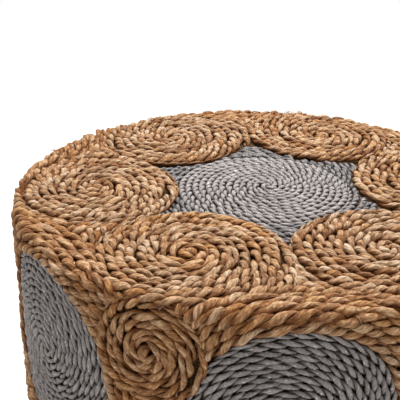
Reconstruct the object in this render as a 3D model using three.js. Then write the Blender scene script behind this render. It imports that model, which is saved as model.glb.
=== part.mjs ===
// Rope-covered drum stool: a plywood and cane frame in a jute lining, covered with
// flat coils of natural brown rope and grey cord. Millimetres, +Z up, origin on the
// floor under the middle of the drum. The grey side coils face -Y and every sixth of
// a turn from there; the brown columns lie half-way between them.
import * as THREE from 'three';

// Whole drum
const drumRadius = 250;
const drumHeight = 400;
const columnCount = 6;
const frontAzimuth = -Math.PI / 2;
const columnStep = (2 * Math.PI) / columnCount;

// Rope and cord: the spacing of neighbouring turns, and the thickness that is drawn
const brownPitch = 9.4;
const brownThickness = 8.5;
const greyPitch = 6.6;
const greyThickness = 5.9;
const ropeSides = 4;
const brownStepsPerTurn = 14;
const greyStepsPerTurn = 18;
const coilStartShare = 0.6;

// Clearances
const seatGap = 0.3;
const pieceGap = 0.8;
const rimMargin = 0.5;

// Lining of jute canvas, pulled over the frame like a cap
const liningThickness = 1.2;
const liningEdge = 2;
const liningFoot = 3;

// Frame
const boardThickness = 15;
const baseThickness = 18;
const baseRingWidth = 43.8;
const edgeRound = 2;
const postRadius = 14;
const hoopThickness = 10;
const roundSteps = 60;
const postSteps = 16;
const hoopSides = 6;

// Star of grey cord in the middle of the top
const starRadius = 87.4;

// Blunt ends of the corner pieces between two top coils
const cornerBlunt = 4;
const cornerSteps = 9;
const rimArcSteps = 6;

// Grey coils on the side, two rows of them
const medallionSegments = 20;
const medallionRingShares = [0.33, 0.66, 0.95];
const edgeDrop = 3;
const scrollFoot = 1;
const scrollSteps = 10;
const scrollColumns = 6;

// Levels and radii that follow from the sizes above
const topRopeBottom = drumHeight - brownThickness - seatGap;
const liningTop = topRopeBottom - seatGap;
const boardTop = liningTop - liningThickness - seatGap;
const boardBottom = boardTop - boardThickness;
const liningRadius = drumRadius - brownPitch - seatGap;
const liningInner = liningRadius - liningThickness;
const frameRadius = liningInner - seatGap;
const baseInnerRadius = frameRadius - baseRingWidth;
const hoopRadius = frameRadius - hoopThickness / 2;
const postCentre = hoopRadius - hoopThickness / 2 - seatGap - postRadius;
const coverFacet = columnStep / scrollColumns / 2;
const coverInner = (liningRadius + seatGap) / Math.cos(coverFacet);
const medallionOuter = coverInner + greyPitch;
const scrollOuter = drumRadius;
const scrollTop = topRopeBottom - seatGap;
const middleHeight = drumHeight / 2;
const medallionRadius = (scrollTop - middleHeight - brownPitch - 2 * pieceGap) / 2;
const upperRowHeight = scrollTop - pieceGap - medallionRadius;
const halfColumn = columnStep / 2;
const columnWidth = columnStep * drumRadius;

// A top coil is an oval that fills the room between the star, the rim and its neighbours
const coilHalfDepth = (drumRadius - rimMargin - starRadius - pieceGap) / 2;
const coilCentre = starRadius + pieceGap + coilHalfDepth;
const coilSideRoom = coilCentre * Math.sin(halfColumn) - pieceGap / 2;
const coilHalfWidth = Math.sqrt(coilSideRoom ** 2 - (coilHalfDepth * Math.sin(halfColumn)) ** 2)
  / Math.cos(halfColumn);

// Colours and finishes
const brownRope = new THREE.MeshStandardMaterial({ color: 0xb98a5c, roughness: 0.85, metalness: 0 });
const greyCord = new THREE.MeshStandardMaterial({ color: 0x7f7b7a, roughness: 0.55, metalness: 0 });
const juteCanvas = new THREE.MeshStandardMaterial({ color: 0x5d4a35, roughness: 0.95, metalness: 0 });
const birchPly = new THREE.MeshStandardMaterial({ color: 0xcfae7c, roughness: 0.6, metalness: 0 });
const peeledCane = new THREE.MeshStandardMaterial({ color: 0xc49a5a, roughness: 0.5, metalness: 0 });

const stool = new THREE.Group();

function addPiece(name, geometry, material) {
  const mesh = new THREE.Mesh(geometry, material);
  mesh.name = name;
  stool.add(mesh);
  return mesh;
}

function geometryFrom(points, faces) {
  const geometry = new THREE.BufferGeometry();
  const numbers = points.flatMap((point) => [point.x, point.y, point.z]);
  geometry.setAttribute('position', new THREE.Float32BufferAttribute(numbers, 3));
  geometry.setIndex(faces.flat());
  geometry.computeVertexNormals();
  return geometry;
}

// Halves the interval until the value where test changes from false to true is known
function turningPoint(test, low, high) {
  let inside = low;
  let outside = high;
  for (let step = 0; step < 50; step += 1) {
    const middle = (inside + outside) / 2;
    if (test(middle)) {
      outside = middle;
    } else {
      inside = middle;
    }
  }
  return inside;
}

// A rope: a polygon carried along a flat route, standing on one corner, closed at both ends
function ropeAlong(route, thickness) {
  const points = [];
  const faces = [];
  const up = new THREE.Vector3(0, 0, 1);
  route.forEach((place, index) => {
    const before = route[Math.max(index - 1, 0)];
    const after = route[Math.min(index + 1, route.length - 1)];
    const along = after.clone().sub(before).normalize();
    const sideways = along.clone().cross(up).normalize();
    for (let side = 0; side < ropeSides; side += 1) {
      const angle = (2 * Math.PI * side) / ropeSides;
      const corner = place.clone();
      corner.addScaledVector(sideways, (thickness / 2) * Math.cos(angle));
      corner.addScaledVector(up, (thickness / 2) * Math.sin(angle));
      points.push(corner);
    }
  });
  for (let ring = 0; ring < route.length - 1; ring += 1) {
    for (let side = 0; side < ropeSides; side += 1) {
      const next = (side + 1) % ropeSides;
      const a = ring * ropeSides + side;
      const b = ring * ropeSides + next;
      faces.push([a, b + ropeSides, b], [a, a + ropeSides, b + ropeSides]);
    }
  }
  const last = (route.length - 1) * ropeSides;
  for (let side = 1; side < ropeSides - 1; side += 1) {
    faces.push([0, side, side + 1], [last, last + side + 1, last + side]);
  }
  return geometryFrom(points, faces);
}

// Least free space between stretches of one rope that lie apart along it
function gapToItself(route, thickness) {
  const places = [];
  route.forEach((place, index) => {
    places.push(place);
    if (index < route.length - 1) {
      places.push(place.clone().lerp(route[index + 1], 0.5));
    }
  });
  const travelled = [0];
  for (let index = 1; index < places.length; index += 1) {
    travelled.push(travelled[index - 1] + places[index].distanceTo(places[index - 1]));
  }
  let least = Infinity;
  for (let first = 0; first < places.length; first += 1) {
    for (let second = first + 1; second < places.length; second += 1) {
      if (travelled[second] - travelled[first] > thickness * Math.PI / 2) {
        least = Math.min(least, places[first].distanceTo(places[second]));
      }
    }
  }
  return least - thickness;
}

// A flat spiral: its radius grows by one pitch a turn, and widen makes it oval across the drum
function spiralRoute(pitch, reach, stepsPerTurn, widen) {
  const turns = reach / pitch - coilStartShare;
  const steps = Math.floor(turns * stepsPerTurn);
  const route = [];
  for (let step = 0; step <= steps; step += 1) {
    const radius = pitch * (coilStartShare + step / stepsPerTurn);
    const angle = (2 * Math.PI * step) / stepsPerTurn;
    route.push(new THREE.Vector3(radius * Math.cos(angle), widen * radius * Math.sin(angle), 0));
  }
  return route;
}

function moved(route, azimuth, outward, height) {
  const axis = new THREE.Vector3(0, 0, 1);
  return route.map((place) => place.clone()
    .add(new THREE.Vector3(outward, 0, height))
    .applyAxisAngle(axis, azimuth));
}

// Star: a round spiral of grey cord, and six tips of the same cord folded to and fro
const starHeight = topRopeBottom + greyThickness / 2;
const starRoute = spiralRoute(greyPitch, starRadius - greyThickness / 2, greyStepsPerTurn, 1);
addPiece('star_coil', ropeAlong(moved(starRoute, 0, 0, starHeight), greyThickness), greyCord);

// Outer edge of a top coil in the frame of the tip beside it, grown by a margin
function coilEdge(angle, margin) {
  const depth = (coilHalfDepth + margin) * Math.cos(angle);
  const width = (coilHalfWidth + margin) * Math.sin(angle);
  const edge = new THREE.Vector3(coilCentre + depth, width, 0);
  return edge.applyAxisAngle(new THREE.Vector3(0, 0, 1), -halfColumn);
}

// True where a place, in the tip's frame, lies inside the coil beside the tip
function insideCoil(place, margin) {
  const local = place.clone().applyAxisAngle(new THREE.Vector3(0, 0, 1), halfColumn);
  const depth = (local.x - coilCentre) / (coilHalfDepth + margin);
  const width = local.y / (coilHalfWidth + margin);
  return depth ** 2 + width ** 2 < 1;
}

function onArc(radius, angle) {
  return new THREE.Vector3(radius * Math.cos(angle), radius * Math.sin(angle), 0);
}

function tipRoute() {
  const foldSteps = 4;
  const arcSteps = 3;
  const margin = greyThickness / 2 + pieceGap;
  const rows = [];
  let radius = starRadius + pieceGap + greyThickness / 2;
  while (radius < coilCentre * Math.cos(halfColumn)) {
    const room = turningPoint((angle) => insideCoil(onArc(radius, -angle), margin), 0, halfColumn);
    rows.push({ radius, room: room - greyPitch / 2 / radius });
    radius += greyPitch;
  }
  const open = rows.filter((row) => row.room * row.radius > 0);
  const route = [];
  let side = -1;
  let start = open[0].room;
  open.forEach((row, index) => {
    const isLast = index === open.length - 1;
    const end = isLast ? row.room : open[index + 1].room;
    for (let step = 0; step <= arcSteps; step += 1) {
      const angle = side * (start - ((start + end) * step) / arcSteps);
      route.push(onArc(row.radius, angle));
    }
    if (!isLast) {
      const middle = onArc(row.radius + greyPitch / 2, -side * end);
      const outward = middle.clone().normalize();
      const across = new THREE.Vector3(-outward.y, outward.x, 0).multiplyScalar(-side);
      for (let step = 1; step < foldSteps; step += 1) {
        const turn = (Math.PI * step) / foldSteps;
        const fold = middle.clone();
        fold.addScaledVector(outward, (-greyPitch / 2) * Math.cos(turn));
        fold.addScaledVector(across, (greyPitch / 2) * Math.sin(turn));
        route.push(fold);
      }
    }
    start = end;
    side = -side;
  });
  return route;
}

const tipPath = tipRoute();
for (let column = 0; column < columnCount; column += 1) {
  const azimuth = frontAzimuth + column * columnStep;
  const route = moved(tipPath, azimuth, 0, starHeight);
  addPiece(`star_tip_${column + 1}`, ropeAlong(route, greyThickness), greyCord);
}

// Six oval coils of brown rope round the star
const coilHeight = topRopeBottom + brownThickness / 2;
const coilReach = coilHalfDepth - brownThickness / 2;
const coilWiden = (coilHalfWidth - brownThickness / 2) / coilReach;
const coilPath = spiralRoute(brownPitch, coilReach, brownStepsPerTurn, coilWiden);
for (let column = 0; column < columnCount; column += 1) {
  const azimuth = frontAzimuth + halfColumn + column * columnStep;
  const route = moved(coilPath, azimuth, coilCentre, coilHeight);
  addPiece(`top_coil_${column + 1}`, ropeAlong(route, brownThickness), brownRope);
}

console.log('gap of the star coil to itself, mm', gapToItself(starRoute, greyThickness).toFixed(2));
console.log('gap of a star tip to itself, mm', gapToItself(tipPath, greyThickness).toFixed(2));
console.log('gap of a top coil to itself, mm', gapToItself(coilPath, brownThickness).toFixed(2));

// Corner pieces between two top coils and the rim
const rimRadius = drumRadius - rimMargin;
const besideCoil = Math.PI - halfColumn * 2;
const apexAngle = turningPoint((angle) => coilEdge(angle, pieceGap).y > -cornerBlunt / 2, 0, besideCoil);
const rimAngle = turningPoint(
  (angle) => coilEdge(angle, pieceGap).length() < rimRadius - cornerBlunt,
  0,
  besideCoil,
);
const cornerSide = [];
for (let step = 0; step <= cornerSteps; step += 1) {
  const angle = apexAngle + ((rimAngle - apexAngle) * step) / cornerSteps;
  cornerSide.push(coilEdge(angle, pieceGap));
}
const rimEnd = cornerSide[cornerSteps].clone();
const rimHalfAngle = Math.atan2(-rimEnd.y, rimEnd.x);
const cornerOutline = cornerSide.map((place) => new THREE.Vector2(place.x, place.y));
for (let step = 0; step <= rimArcSteps; step += 1) {
  const angle = rimHalfAngle * ((2 * step) / rimArcSteps - 1);
  cornerOutline.push(new THREE.Vector2(rimRadius * Math.cos(angle), rimRadius * Math.sin(angle)));
}
[...cornerSide].reverse().forEach((place) => {
  cornerOutline.push(new THREE.Vector2(place.x, -place.y));
});
const cornerShape = new THREE.Shape(cornerOutline);
for (let column = 0; column < columnCount; column += 1) {
  const geometry = new THREE.ExtrudeGeometry(cornerShape, { depth: brownThickness, bevelEnabled: false });
  const corner = addPiece(`rim_corner_${column + 1}`, geometry, brownRope);
  corner.position.z = topRopeBottom;
  corner.rotation.z = frontAzimuth + column * columnStep;
}

// A place on the side of the drum: distance along it at the drum's radius, height, radius
function onDrum(along, height, radius) {
  const azimuth = along / drumRadius;
  return new THREE.Vector3(radius * Math.cos(azimuth), radius * Math.sin(azimuth), height);
}

// A grey side coil: a curved round plate, thinner along its edge
function medallionGeometry() {
  const points = [];
  const faces = [];
  const rings = medallionRingShares.map((share) => share * medallionRadius);
  const segment = (2 * Math.PI) / medallionSegments;
  const addRing = (ring, radius) => {
    for (let step = 0; step < medallionSegments; step += 1) {
      points.push(onDrum(ring * Math.cos(step * segment), ring * Math.sin(step * segment), radius));
    }
  };
  points.push(onDrum(0, 0, medallionOuter));
  rings.forEach((ring) => addRing(ring, medallionOuter));
  addRing(medallionRadius, medallionOuter - edgeDrop);
  addRing(medallionRadius, coverInner);
  [...rings].reverse().slice(1).forEach((ring) => addRing(ring, coverInner));
  points.push(onDrum(0, 0, coverInner));
  const ringCount = (points.length - 2) / medallionSegments;
  const lastPoint = points.length - 1;
  for (let step = 0; step < medallionSegments; step += 1) {
    const next = (step + 1) % medallionSegments;
    faces.push([0, 1 + step, 1 + next]);
    for (let ring = 0; ring < ringCount - 1; ring += 1) {
      const a = 1 + ring * medallionSegments + step;
      const b = 1 + ring * medallionSegments + next;
      faces.push([a, a + medallionSegments, b + medallionSegments], [a, b + medallionSegments, b]);
    }
    const lastRing = 1 + (ringCount - 1) * medallionSegments;
    faces.push([lastRing + step, lastPoint, lastRing + next]);
  }
  return geometryFrom(points, faces);
}

const rowHeights = {
  upper: upperRowHeight,
  lower: drumHeight - upperRowHeight,
};
Object.entries(rowHeights).forEach(([row, height]) => {
  for (let column = 0; column < columnCount; column += 1) {
    const medallion = addPiece(`medallion_${row}_${column + 1}`, medallionGeometry(), greyCord);
    medallion.position.z = height;
    medallion.rotation.z = frontAzimuth + column * columnStep;
  }
});

// A brown panel between two grey side coils: its waist follows their round edges, and its
// head and foot run over and under them to the next panel
function scrollGeometry(rowHeight, low, high) {
  const bend = medallionRadius + pieceGap;
  const full = columnWidth / 2 - pieceGap / 2;
  const rows = [];
  const lowest = Math.max((low - rowHeight) / bend, -1);
  const highest = Math.min((high - rowHeight) / bend, 1);
  if (rowHeight - bend > low) {
    rows.push({ height: low, half: full });
  }
  for (let step = 0; step <= scrollSteps; step += 1) {
    const start = Math.asin(lowest);
    const turn = start + ((Math.asin(highest) - start) * step) / scrollSteps;
    const half = Math.min(columnWidth / 2 - bend * Math.cos(turn), full);
    rows.push({ height: rowHeight + bend * Math.sin(turn), half });
  }
  if (rowHeight + bend < high) {
    rows.push({ height: high, half: full });
  }
  const points = [];
  const faces = [];
  const perLayer = rows.length * (scrollColumns + 1);
  [scrollOuter, coverInner].forEach((radius) => {
    rows.forEach((row) => {
      for (let column = 0; column <= scrollColumns; column += 1) {
        const along = row.half * ((2 * column) / scrollColumns - 1);
        points.push(onDrum(along, row.height, radius));
      }
    });
  });
  const at = (layer, row, column) => layer * perLayer + row * (scrollColumns + 1) + column;
  for (let row = 0; row < rows.length - 1; row += 1) {
    for (let column = 0; column < scrollColumns; column += 1) {
      const corners = [[row, column], [row, column + 1], [row + 1, column + 1], [row + 1, column]];
      const [a, b, c, d] = corners.map((corner) => at(0, ...corner));
      const [e, f, g, h] = corners.map((corner) => at(1, ...corner));
      // The shorter diagonal keeps the facets close to the drum
      if (points[a].distanceTo(points[c]) < points[b].distanceTo(points[d])) {
        faces.push([a, b, c], [a, c, d], [e, g, f], [e, h, g]);
      } else {
        faces.push([a, b, d], [b, c, d], [e, h, f], [f, h, g]);
      }
    }
    const left = [at(0, row, 0), at(0, row + 1, 0), at(1, row + 1, 0), at(1, row, 0)];
    const right = [
      at(0, row, scrollColumns),
      at(1, row, scrollColumns),
      at(1, row + 1, scrollColumns),
      at(0, row + 1, scrollColumns),
    ];
    [left, right].forEach(([a, b, c, d]) => faces.push([a, b, c], [a, c, d]));
  }
  const topRow = rows.length - 1;
  for (let column = 0; column < scrollColumns; column += 1) {
    const foot = [at(0, 0, column), at(1, 0, column), at(1, 0, column + 1), at(0, 0, column + 1)];
    const head = [
      at(0, topRow, column),
      at(0, topRow, column + 1),
      at(1, topRow, column + 1),
      at(1, topRow, column),
    ];
    [foot, head].forEach(([a, b, c, d]) => faces.push([a, b, c], [a, c, d]));
  }
  return geometryFrom(points, faces);
}

const scrollRows = {
  upper: [rowHeights.upper, middleHeight + seatGap, scrollTop],
  lower: [rowHeights.lower, scrollFoot, middleHeight - seatGap],
};
Object.entries(scrollRows).forEach(([row, [height, low, high]]) => {
  for (let column = 0; column < columnCount; column += 1) {
    const panel = addPiece(`scroll_${row}_${column + 1}`, scrollGeometry(height, low, high), brownRope);
    panel.rotation.z = frontAzimuth + halfColumn + column * columnStep;
  }
});

// Turns a closed outline of radius and height about the drum's axis
function turned(outline) {
  const profile = outline.map(([radius, height]) => new THREE.Vector2(radius, height));
  const geometry = new THREE.LatheGeometry(profile, roundSteps);
  geometry.rotateX(Math.PI / 2);
  return geometry;
}

const liningInnerTop = liningTop - liningThickness;
addPiece('jute_lining', turned([
  [0, liningInnerTop],
  [liningInner - liningEdge, liningInnerTop],
  [liningInner, liningInnerTop - liningEdge],
  [liningInner, liningFoot],
  [liningRadius, liningFoot],
  [liningRadius, liningTop - liningEdge],
  [liningRadius - liningEdge, liningTop],
  [0, liningTop],
]), juteCanvas);

addPiece('seat_board', turned([
  [0, boardBottom],
  [frameRadius, boardBottom],
  [frameRadius, boardTop - edgeRound - liningEdge],
  [frameRadius - edgeRound - liningEdge, boardTop],
  [0, boardTop],
]), birchPly);

addPiece('base_ring', turned([
  [baseInnerRadius, 0],
  [frameRadius - edgeRound, 0],
  [frameRadius, edgeRound],
  [frameRadius, baseThickness],
  [baseInnerRadius, baseThickness],
  [baseInnerRadius, 0],
]), birchPly);

const hoopOutline = [];
for (let side = 0; side <= hoopSides; side += 1) {
  const angle = (2 * Math.PI * side) / hoopSides;
  hoopOutline.push([
    hoopRadius + (hoopThickness / 2) * Math.cos(angle),
    middleHeight + (hoopThickness / 2) * Math.sin(angle),
  ]);
}
addPiece('middle_hoop', turned(hoopOutline), peeledCane);

const postLength = boardBottom - baseThickness - 2 * seatGap;
for (let column = 0; column < columnCount; column += 1) {
  const geometry = new THREE.CylinderGeometry(postRadius, postRadius, postLength, postSteps);
  geometry.rotateX(Math.PI / 2);
  const post = addPiece(`post_${column + 1}`, geometry, peeledCane);
  const azimuth = frontAzimuth + halfColumn + column * columnStep;
  const height = baseThickness + seatGap + postLength / 2;
  post.position.set(postCentre * Math.cos(azimuth), postCentre * Math.sin(azimuth), height);
}

export default stool;
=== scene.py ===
# %% [markdown]
# # A rope-covered drum stool
# The real stool is a light frame of plywood and cane in a cap of jute canvas. Flat coils of
# twisted rope are stitched to the canvas until none of it shows. The frame and the places
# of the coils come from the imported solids, which hold each coil as a plain smooth tube.
# This file winds a twisted rope in the place of each tube, fills the corners between the
# coils, and gives every surface a finish.

# %% Load the frame
import math

import bmesh
import bpy
import numpy as np
from mathutils import Matrix, Vector


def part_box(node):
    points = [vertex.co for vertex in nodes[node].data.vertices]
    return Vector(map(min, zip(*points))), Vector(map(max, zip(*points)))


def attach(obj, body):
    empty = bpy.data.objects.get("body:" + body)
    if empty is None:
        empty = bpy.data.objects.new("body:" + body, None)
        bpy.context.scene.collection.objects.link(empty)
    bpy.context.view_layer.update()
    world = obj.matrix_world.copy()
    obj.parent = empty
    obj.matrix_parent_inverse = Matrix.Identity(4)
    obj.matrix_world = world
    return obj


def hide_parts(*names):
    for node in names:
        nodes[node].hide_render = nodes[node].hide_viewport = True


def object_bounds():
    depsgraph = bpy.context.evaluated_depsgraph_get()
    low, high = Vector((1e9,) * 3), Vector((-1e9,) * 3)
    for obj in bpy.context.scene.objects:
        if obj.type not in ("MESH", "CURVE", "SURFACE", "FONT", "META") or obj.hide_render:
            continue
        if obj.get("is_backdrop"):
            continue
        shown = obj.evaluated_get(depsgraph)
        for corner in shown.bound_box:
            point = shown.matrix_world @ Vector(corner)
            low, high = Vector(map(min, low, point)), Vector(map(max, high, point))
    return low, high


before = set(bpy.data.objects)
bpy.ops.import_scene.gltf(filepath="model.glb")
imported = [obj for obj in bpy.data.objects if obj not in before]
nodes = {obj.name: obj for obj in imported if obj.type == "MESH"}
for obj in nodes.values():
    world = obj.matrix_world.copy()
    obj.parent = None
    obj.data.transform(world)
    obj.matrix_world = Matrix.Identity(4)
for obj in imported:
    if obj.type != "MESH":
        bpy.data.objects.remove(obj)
cad_low, cad_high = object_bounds()
print(len(nodes), "solids, box", [round(v, 4) for v in (*cad_low, *cad_high)])

# %% [markdown]
# ## Sizes of the drum
# The drum is half a metre across and four fifths of that high, with six columns of coils
# round it. Its sizes could be typed in again, but the main ones are read from the solids,
# so that a rope lies where its solid lies. Lengths are in millimetres, as a maker would
# write them, and only the last step of each mesh turns them into metres.

# %% Sizes of the drum and of its coils
MM = 1000.0
COLUMNS = 6
COLUMN_STEP = 2 * math.pi / COLUMNS
FRONT = -math.pi / 2
# The solids of the corners end this far below the drum's full height.
SEAT_GAP = 0.3

drum_radius = cad_high[0] * MM
drum_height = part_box("rim_corner_1")[1][2] * MM + SEAT_GAP
column_width = COLUMN_STEP * drum_radius
medallion_low, medallion_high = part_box("medallion_upper_1")
medallion_radius = (medallion_high[2] - medallion_low[2]) / 2 * MM
medallion_height = (medallion_high[2] + medallion_low[2]) / 2 * MM
# The canvas that the ropes are stitched to.
lining_low, lining_high = (np.array(v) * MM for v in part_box("jute_lining"))
lining_radius, lining_top, lining_bottom = lining_high[0], lining_high[2], lining_low[2]
# The star in the middle of the top, and the ovals round it that touch it and the rim.
star_radius = 88.0
coil_half_depth = 80.6
coil_half_width = 84.6
coil_centre = 168.6
# The small coils on the side, and how far the middle of the highest lies below the rim.
small_radius = 41.3
small_drop = 49.3
print("drum", round(drum_radius, 1), "x", round(drum_height, 1))
print("a grey side coil has radius", round(medallion_radius, 1))

# %% [markdown]
# ## The two ropes
# The real stool has a brown rope of dried water plant and a thinner grey cord of dyed
# grass, and each is two strands twisted together by hand. A rope could be a smooth tube
# with the twist painted on it, but its straight edge would give it away, so every strand
# is modelled. These settings say how a rope is twisted: pitch is the width of one turn of
# a coil, lay is the length of one full twist, hand is its sense, rough says how unlike its
# beads are, and sway how far it wanders. The offset, radius and bulge of a strand are
# shares of the pitch. Tone and mood are the spread of two values that the material reads:
# how pale a bead is, and how warm.

# %% Settings of each rope
BROWN = {
    "pitch": 8.6, "lay": 26.0, "hand": 1, "rough": 1.2, "sway": 1.0,
    "ply_offset": 0.305, "ply_radius": 0.268, "bulge": 0.18,
    "tone": 0.18, "mean_tone": 0.53, "mood": 0.22, "mean_mood": 0.3,
}
# On the side the leaf is given a warmer and more even tone than on the top.
SIDE_BROWN = {**BROWN, "tone": 0.13, "mean_tone": 0.55, "mean_mood": 0.55}
# The small coils have a tight bend, so their rope is twisted more loosely and pressed flat.
SLACK_BROWN = {
    **SIDE_BROWN, "pitch": 7.9, "lay": 31.0, "sway": 0.7,
    "ply_offset": 0.29, "ply_radius": 0.285, "bulge": 0.12,
    "tone": 0.1, "mood": 0.15, "mean_mood": 0.6,
}
# The rim is wound with the same loose rope, only thicker.
FAT_BROWN = {**SLACK_BROWN, "pitch": 8.9, "lay": 30.0, "mean_tone": 0.51, "sway": 0.8}
GREY = {
    "pitch": 6.6, "lay": 20.0, "hand": -1, "rough": 0.55, "sway": 0.2,
    "ply_offset": 0.30, "ply_radius": 0.262, "bulge": 0.15,
    "tone": 0.07, "mean_tone": 0.45, "mood": 0.12, "mean_mood": 0.5,
}
# The grey cord of the side is less tightly twisted than that of the star, and is painted
# darker as shade, because the side gets less light than the top.
SLACK_GREY = {
    **GREY, "lay": 27.0, "rough": 0.7, "ply_offset": 0.28, "ply_radius": 0.27, "bulge": 0.14,
    "mean_tone": 0.4, "mean_mood": 0.8,
}
# The ends in the star's tips are pushed in by hand and lie deep between the brown coils,
# so their cord is painted darker there as shade.
SHADED_TIP_GREY = {**GREY, "lay": 24.0, "rough": 0.9, "mean_tone": 0.1, "mean_mood": 0.9}
for rope_name, rope in (("brown", BROWN), ("grey", GREY)):
    print(rope_name, "rope: pitch", rope["pitch"], "mm, one twist in", rope["lay"], "mm")

# %% [markdown]
# ## Camera
# The photograph was taken from a little above, close to the stool, which fills more than
# the frame. A camera could be moved by hand until it looks right, but its place was solved
# for: the rim, the star's tips and the coil centres have to fall where they do in the
# photograph. It is written in drum radii and degrees, and the lens in widths of the frame.

# %% Camera
CAMERA_DISTANCE = 3.2419
CAMERA_HEIGHT_DEG = 22.4714
CAMERA_YAW_DEG = -4.9678
CAMERA_PITCH_DEG = 1.357
CAMERA_ROLL_DEG = 0.833
CAMERA_ROUND_DEG = -8.8245
FOCAL_IN_FRAMES = 2.00155
SENSOR = 36.0


def turn_about_z(points, angle):
    """Turns points about the upright axis: x and y mixed by the angle's cosine and sine."""
    points = np.asarray(points, float)
    cosine, sine = math.cos(angle), math.sin(angle)
    x, y = points[..., 0], points[..., 1]
    return np.stack([cosine * x - sine * y, sine * x + cosine * y, points[..., 2]], -1)


def make_camera():
    """Looks from the photograph's place, with the photograph's turn about each axis."""
    lift = math.radians(CAMERA_HEIGHT_DEG)
    pitch = lift + math.radians(CAMERA_PITCH_DEG)
    yaw = math.radians(CAMERA_YAW_DEG)
    roll = math.radians(CAMERA_ROLL_DEG)
    reach = CAMERA_DISTANCE * drum_radius
    place = np.array([0, -reach * math.cos(lift), reach * math.sin(lift)])
    ahead = np.array([
        math.sin(yaw) * math.cos(pitch), math.cos(yaw) * math.cos(pitch), -math.sin(pitch),
    ])
    right = np.cross(ahead, [0, 0, 1])
    right /= np.linalg.norm(right)
    up = np.cross(right, ahead)
    right, up = (
        math.cos(roll) * right + math.sin(roll) * up,
        math.cos(roll) * up - math.sin(roll) * right,
    )
    axes = turn_about_z(np.stack([right, up, -ahead]), math.radians(CAMERA_ROUND_DEG))
    place = turn_about_z(place, math.radians(CAMERA_ROUND_DEG)) + [0, 0, drum_height]
    data = bpy.data.cameras.new("photo_camera")
    data.sensor_width = SENSOR
    data.lens = SENSOR * FOCAL_IN_FRAMES
    data.clip_start = 0.01
    camera = bpy.data.objects.new("photo_camera", data)
    bpy.context.collection.objects.link(camera)
    matrix = np.eye(4)
    matrix[:3, :3] = axes.T
    matrix[:3, 3] = place / MM
    camera.matrix_world = Matrix(matrix.tolist())
    bpy.context.scene.camera = camera
    return camera


camera = make_camera()
print("camera at", [round(v, 3) for v in camera.matrix_world.translation])

# %% [markdown]
# ## One surface for all ropes
# On the real stool the ropes lie on the canvas and follow it over the rim. Each route could
# be worked out in space, but it is easier to draw it on a flat sheet first: how far along
# the drum, and how far below or above its rim. Wrapping the sheet over the rim then gives
# the route in space and the direction that points out of the drum there. The rim is
# rounded, because a rope can't turn a sharp corner.

# %% Wrapping a flat route round the drum
RIM_ROUND = 5.0


def over_rim(rise, radius, height):
    """Profile of the cover: straight up, a quarter circle, then straight in to the axis.

    rise is the length along the profile, 0 at the middle of the quarter circle.
    Returns radius, height and the two parts of the outward direction.
    """
    quarter = math.pi / 2 * RIM_ROUND
    turn = np.clip(rise / quarter + 0.5, 0, 1) * math.pi / 2
    below = np.minimum(rise + quarter / 2, 0)
    above = np.maximum(rise - quarter / 2, 0)
    out = radius - RIM_ROUND + RIM_ROUND * np.cos(turn) - above
    up = height - RIM_ROUND + RIM_ROUND * np.sin(turn) + below
    return out, up, np.cos(turn), np.sin(turn)


def wrap_side(along, rise, azimuth, thickness=BROWN["pitch"]):
    """Route on the side: along is measured at the drum's radius, rise up from the rim.

    The angle is azimuth + along / drum radius, and out and up are those of over_rim.
    """
    centre = drum_radius - thickness / 2
    out, up, lean_out, lean_up = over_rim(rise, centre, drum_height - thickness / 2)
    angle = azimuth + along / drum_radius
    place = np.stack([out * np.cos(angle), out * np.sin(angle), up], -1)
    normal = np.stack([lean_out * np.cos(angle), lean_out * np.sin(angle), lean_up], -1)
    return place, normal


def wrap_top(x, y, azimuth, thickness=BROWN["pitch"]):
    """Route on the top, in the frame turned by azimuth; it dips at the rounded rim.

    The dip is a quarter circle: round * (1 - square root of (1 - past squared)), where past
    is how much of the rounding lies behind the place, from 0 to 1.
    """
    centre = drum_radius - thickness / 2
    radius = np.hypot(x, y)
    past = np.clip((radius - (centre - RIM_ROUND)) / RIM_ROUND, 0, 1)
    dip = RIM_ROUND * (1 - np.sqrt(1 - past**2))
    angle = azimuth + np.arctan2(y, x)
    height = drum_height - thickness / 2 - dip
    place = np.stack([radius * np.cos(angle), radius * np.sin(angle), height], -1)
    normal = np.stack([past * np.cos(angle), past * np.sin(angle), np.sqrt(1 - past**2)], -1)
    return place, normal


rim_turn = wrap_side(0.0, np.array([-20.0, 0.0, 20.0]), FRONT)[0]
print("20 mm below, at and past the rim, out and up:", np.abs(rim_turn[:, 1:]).round(1).tolist())

# %% [markdown]
# ## Uneven, as work by hand is
# No two beads of the real rope are alike. A random value at every point would look like
# noise, because thickness and colour change slowly along a leaf. So values are drawn at a
# real spacing in millimetres and joined smoothly, and the same helper gives the rope its
# wander, its thickness and its colour. The seed is fixed, so each run gives the same stool.

# %% Uneven values along a rope
rng = np.random.default_rng(26)


def uneven(distance, spacing, spread, lanes=1):
    """Smooth random values: one draw every spacing, joined by cosine-shaped steps.

    With more lanes, each lane is a column with draws of its own.
    """
    count = int(distance[-1] / spacing) + 3
    draws = rng.normal(0, spread, (count, lanes))
    where = distance / spacing
    step = np.floor(where).astype(int)
    part = (1 - np.cos(math.pi * (where - step)))[:, None] / 2
    mixed = draws[step] * (1 - part) + draws[step + 1] * part
    return mixed[:, 0] if lanes == 1 else mixed


def resample(place, normal, spacing, extra):
    """Places at even steps along a route, with its normals, its distances and one more value.

    Each is read off in a straight line between the two points next to it.
    """
    travelled = np.concatenate([[0], np.cumsum(np.linalg.norm(np.diff(place, axis=0), axis=1))])
    count = max(int(travelled[-1] / spacing), 4)
    even = np.linspace(0, travelled[-1], count)
    pick = lambda values: np.stack([np.interp(even, travelled, values[:, i]) for i in range(3)], -1)
    normal = pick(normal)
    normal /= np.linalg.norm(normal, axis=1, keepdims=True)
    return pick(place), normal, even, np.interp(even, travelled, extra)


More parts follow.
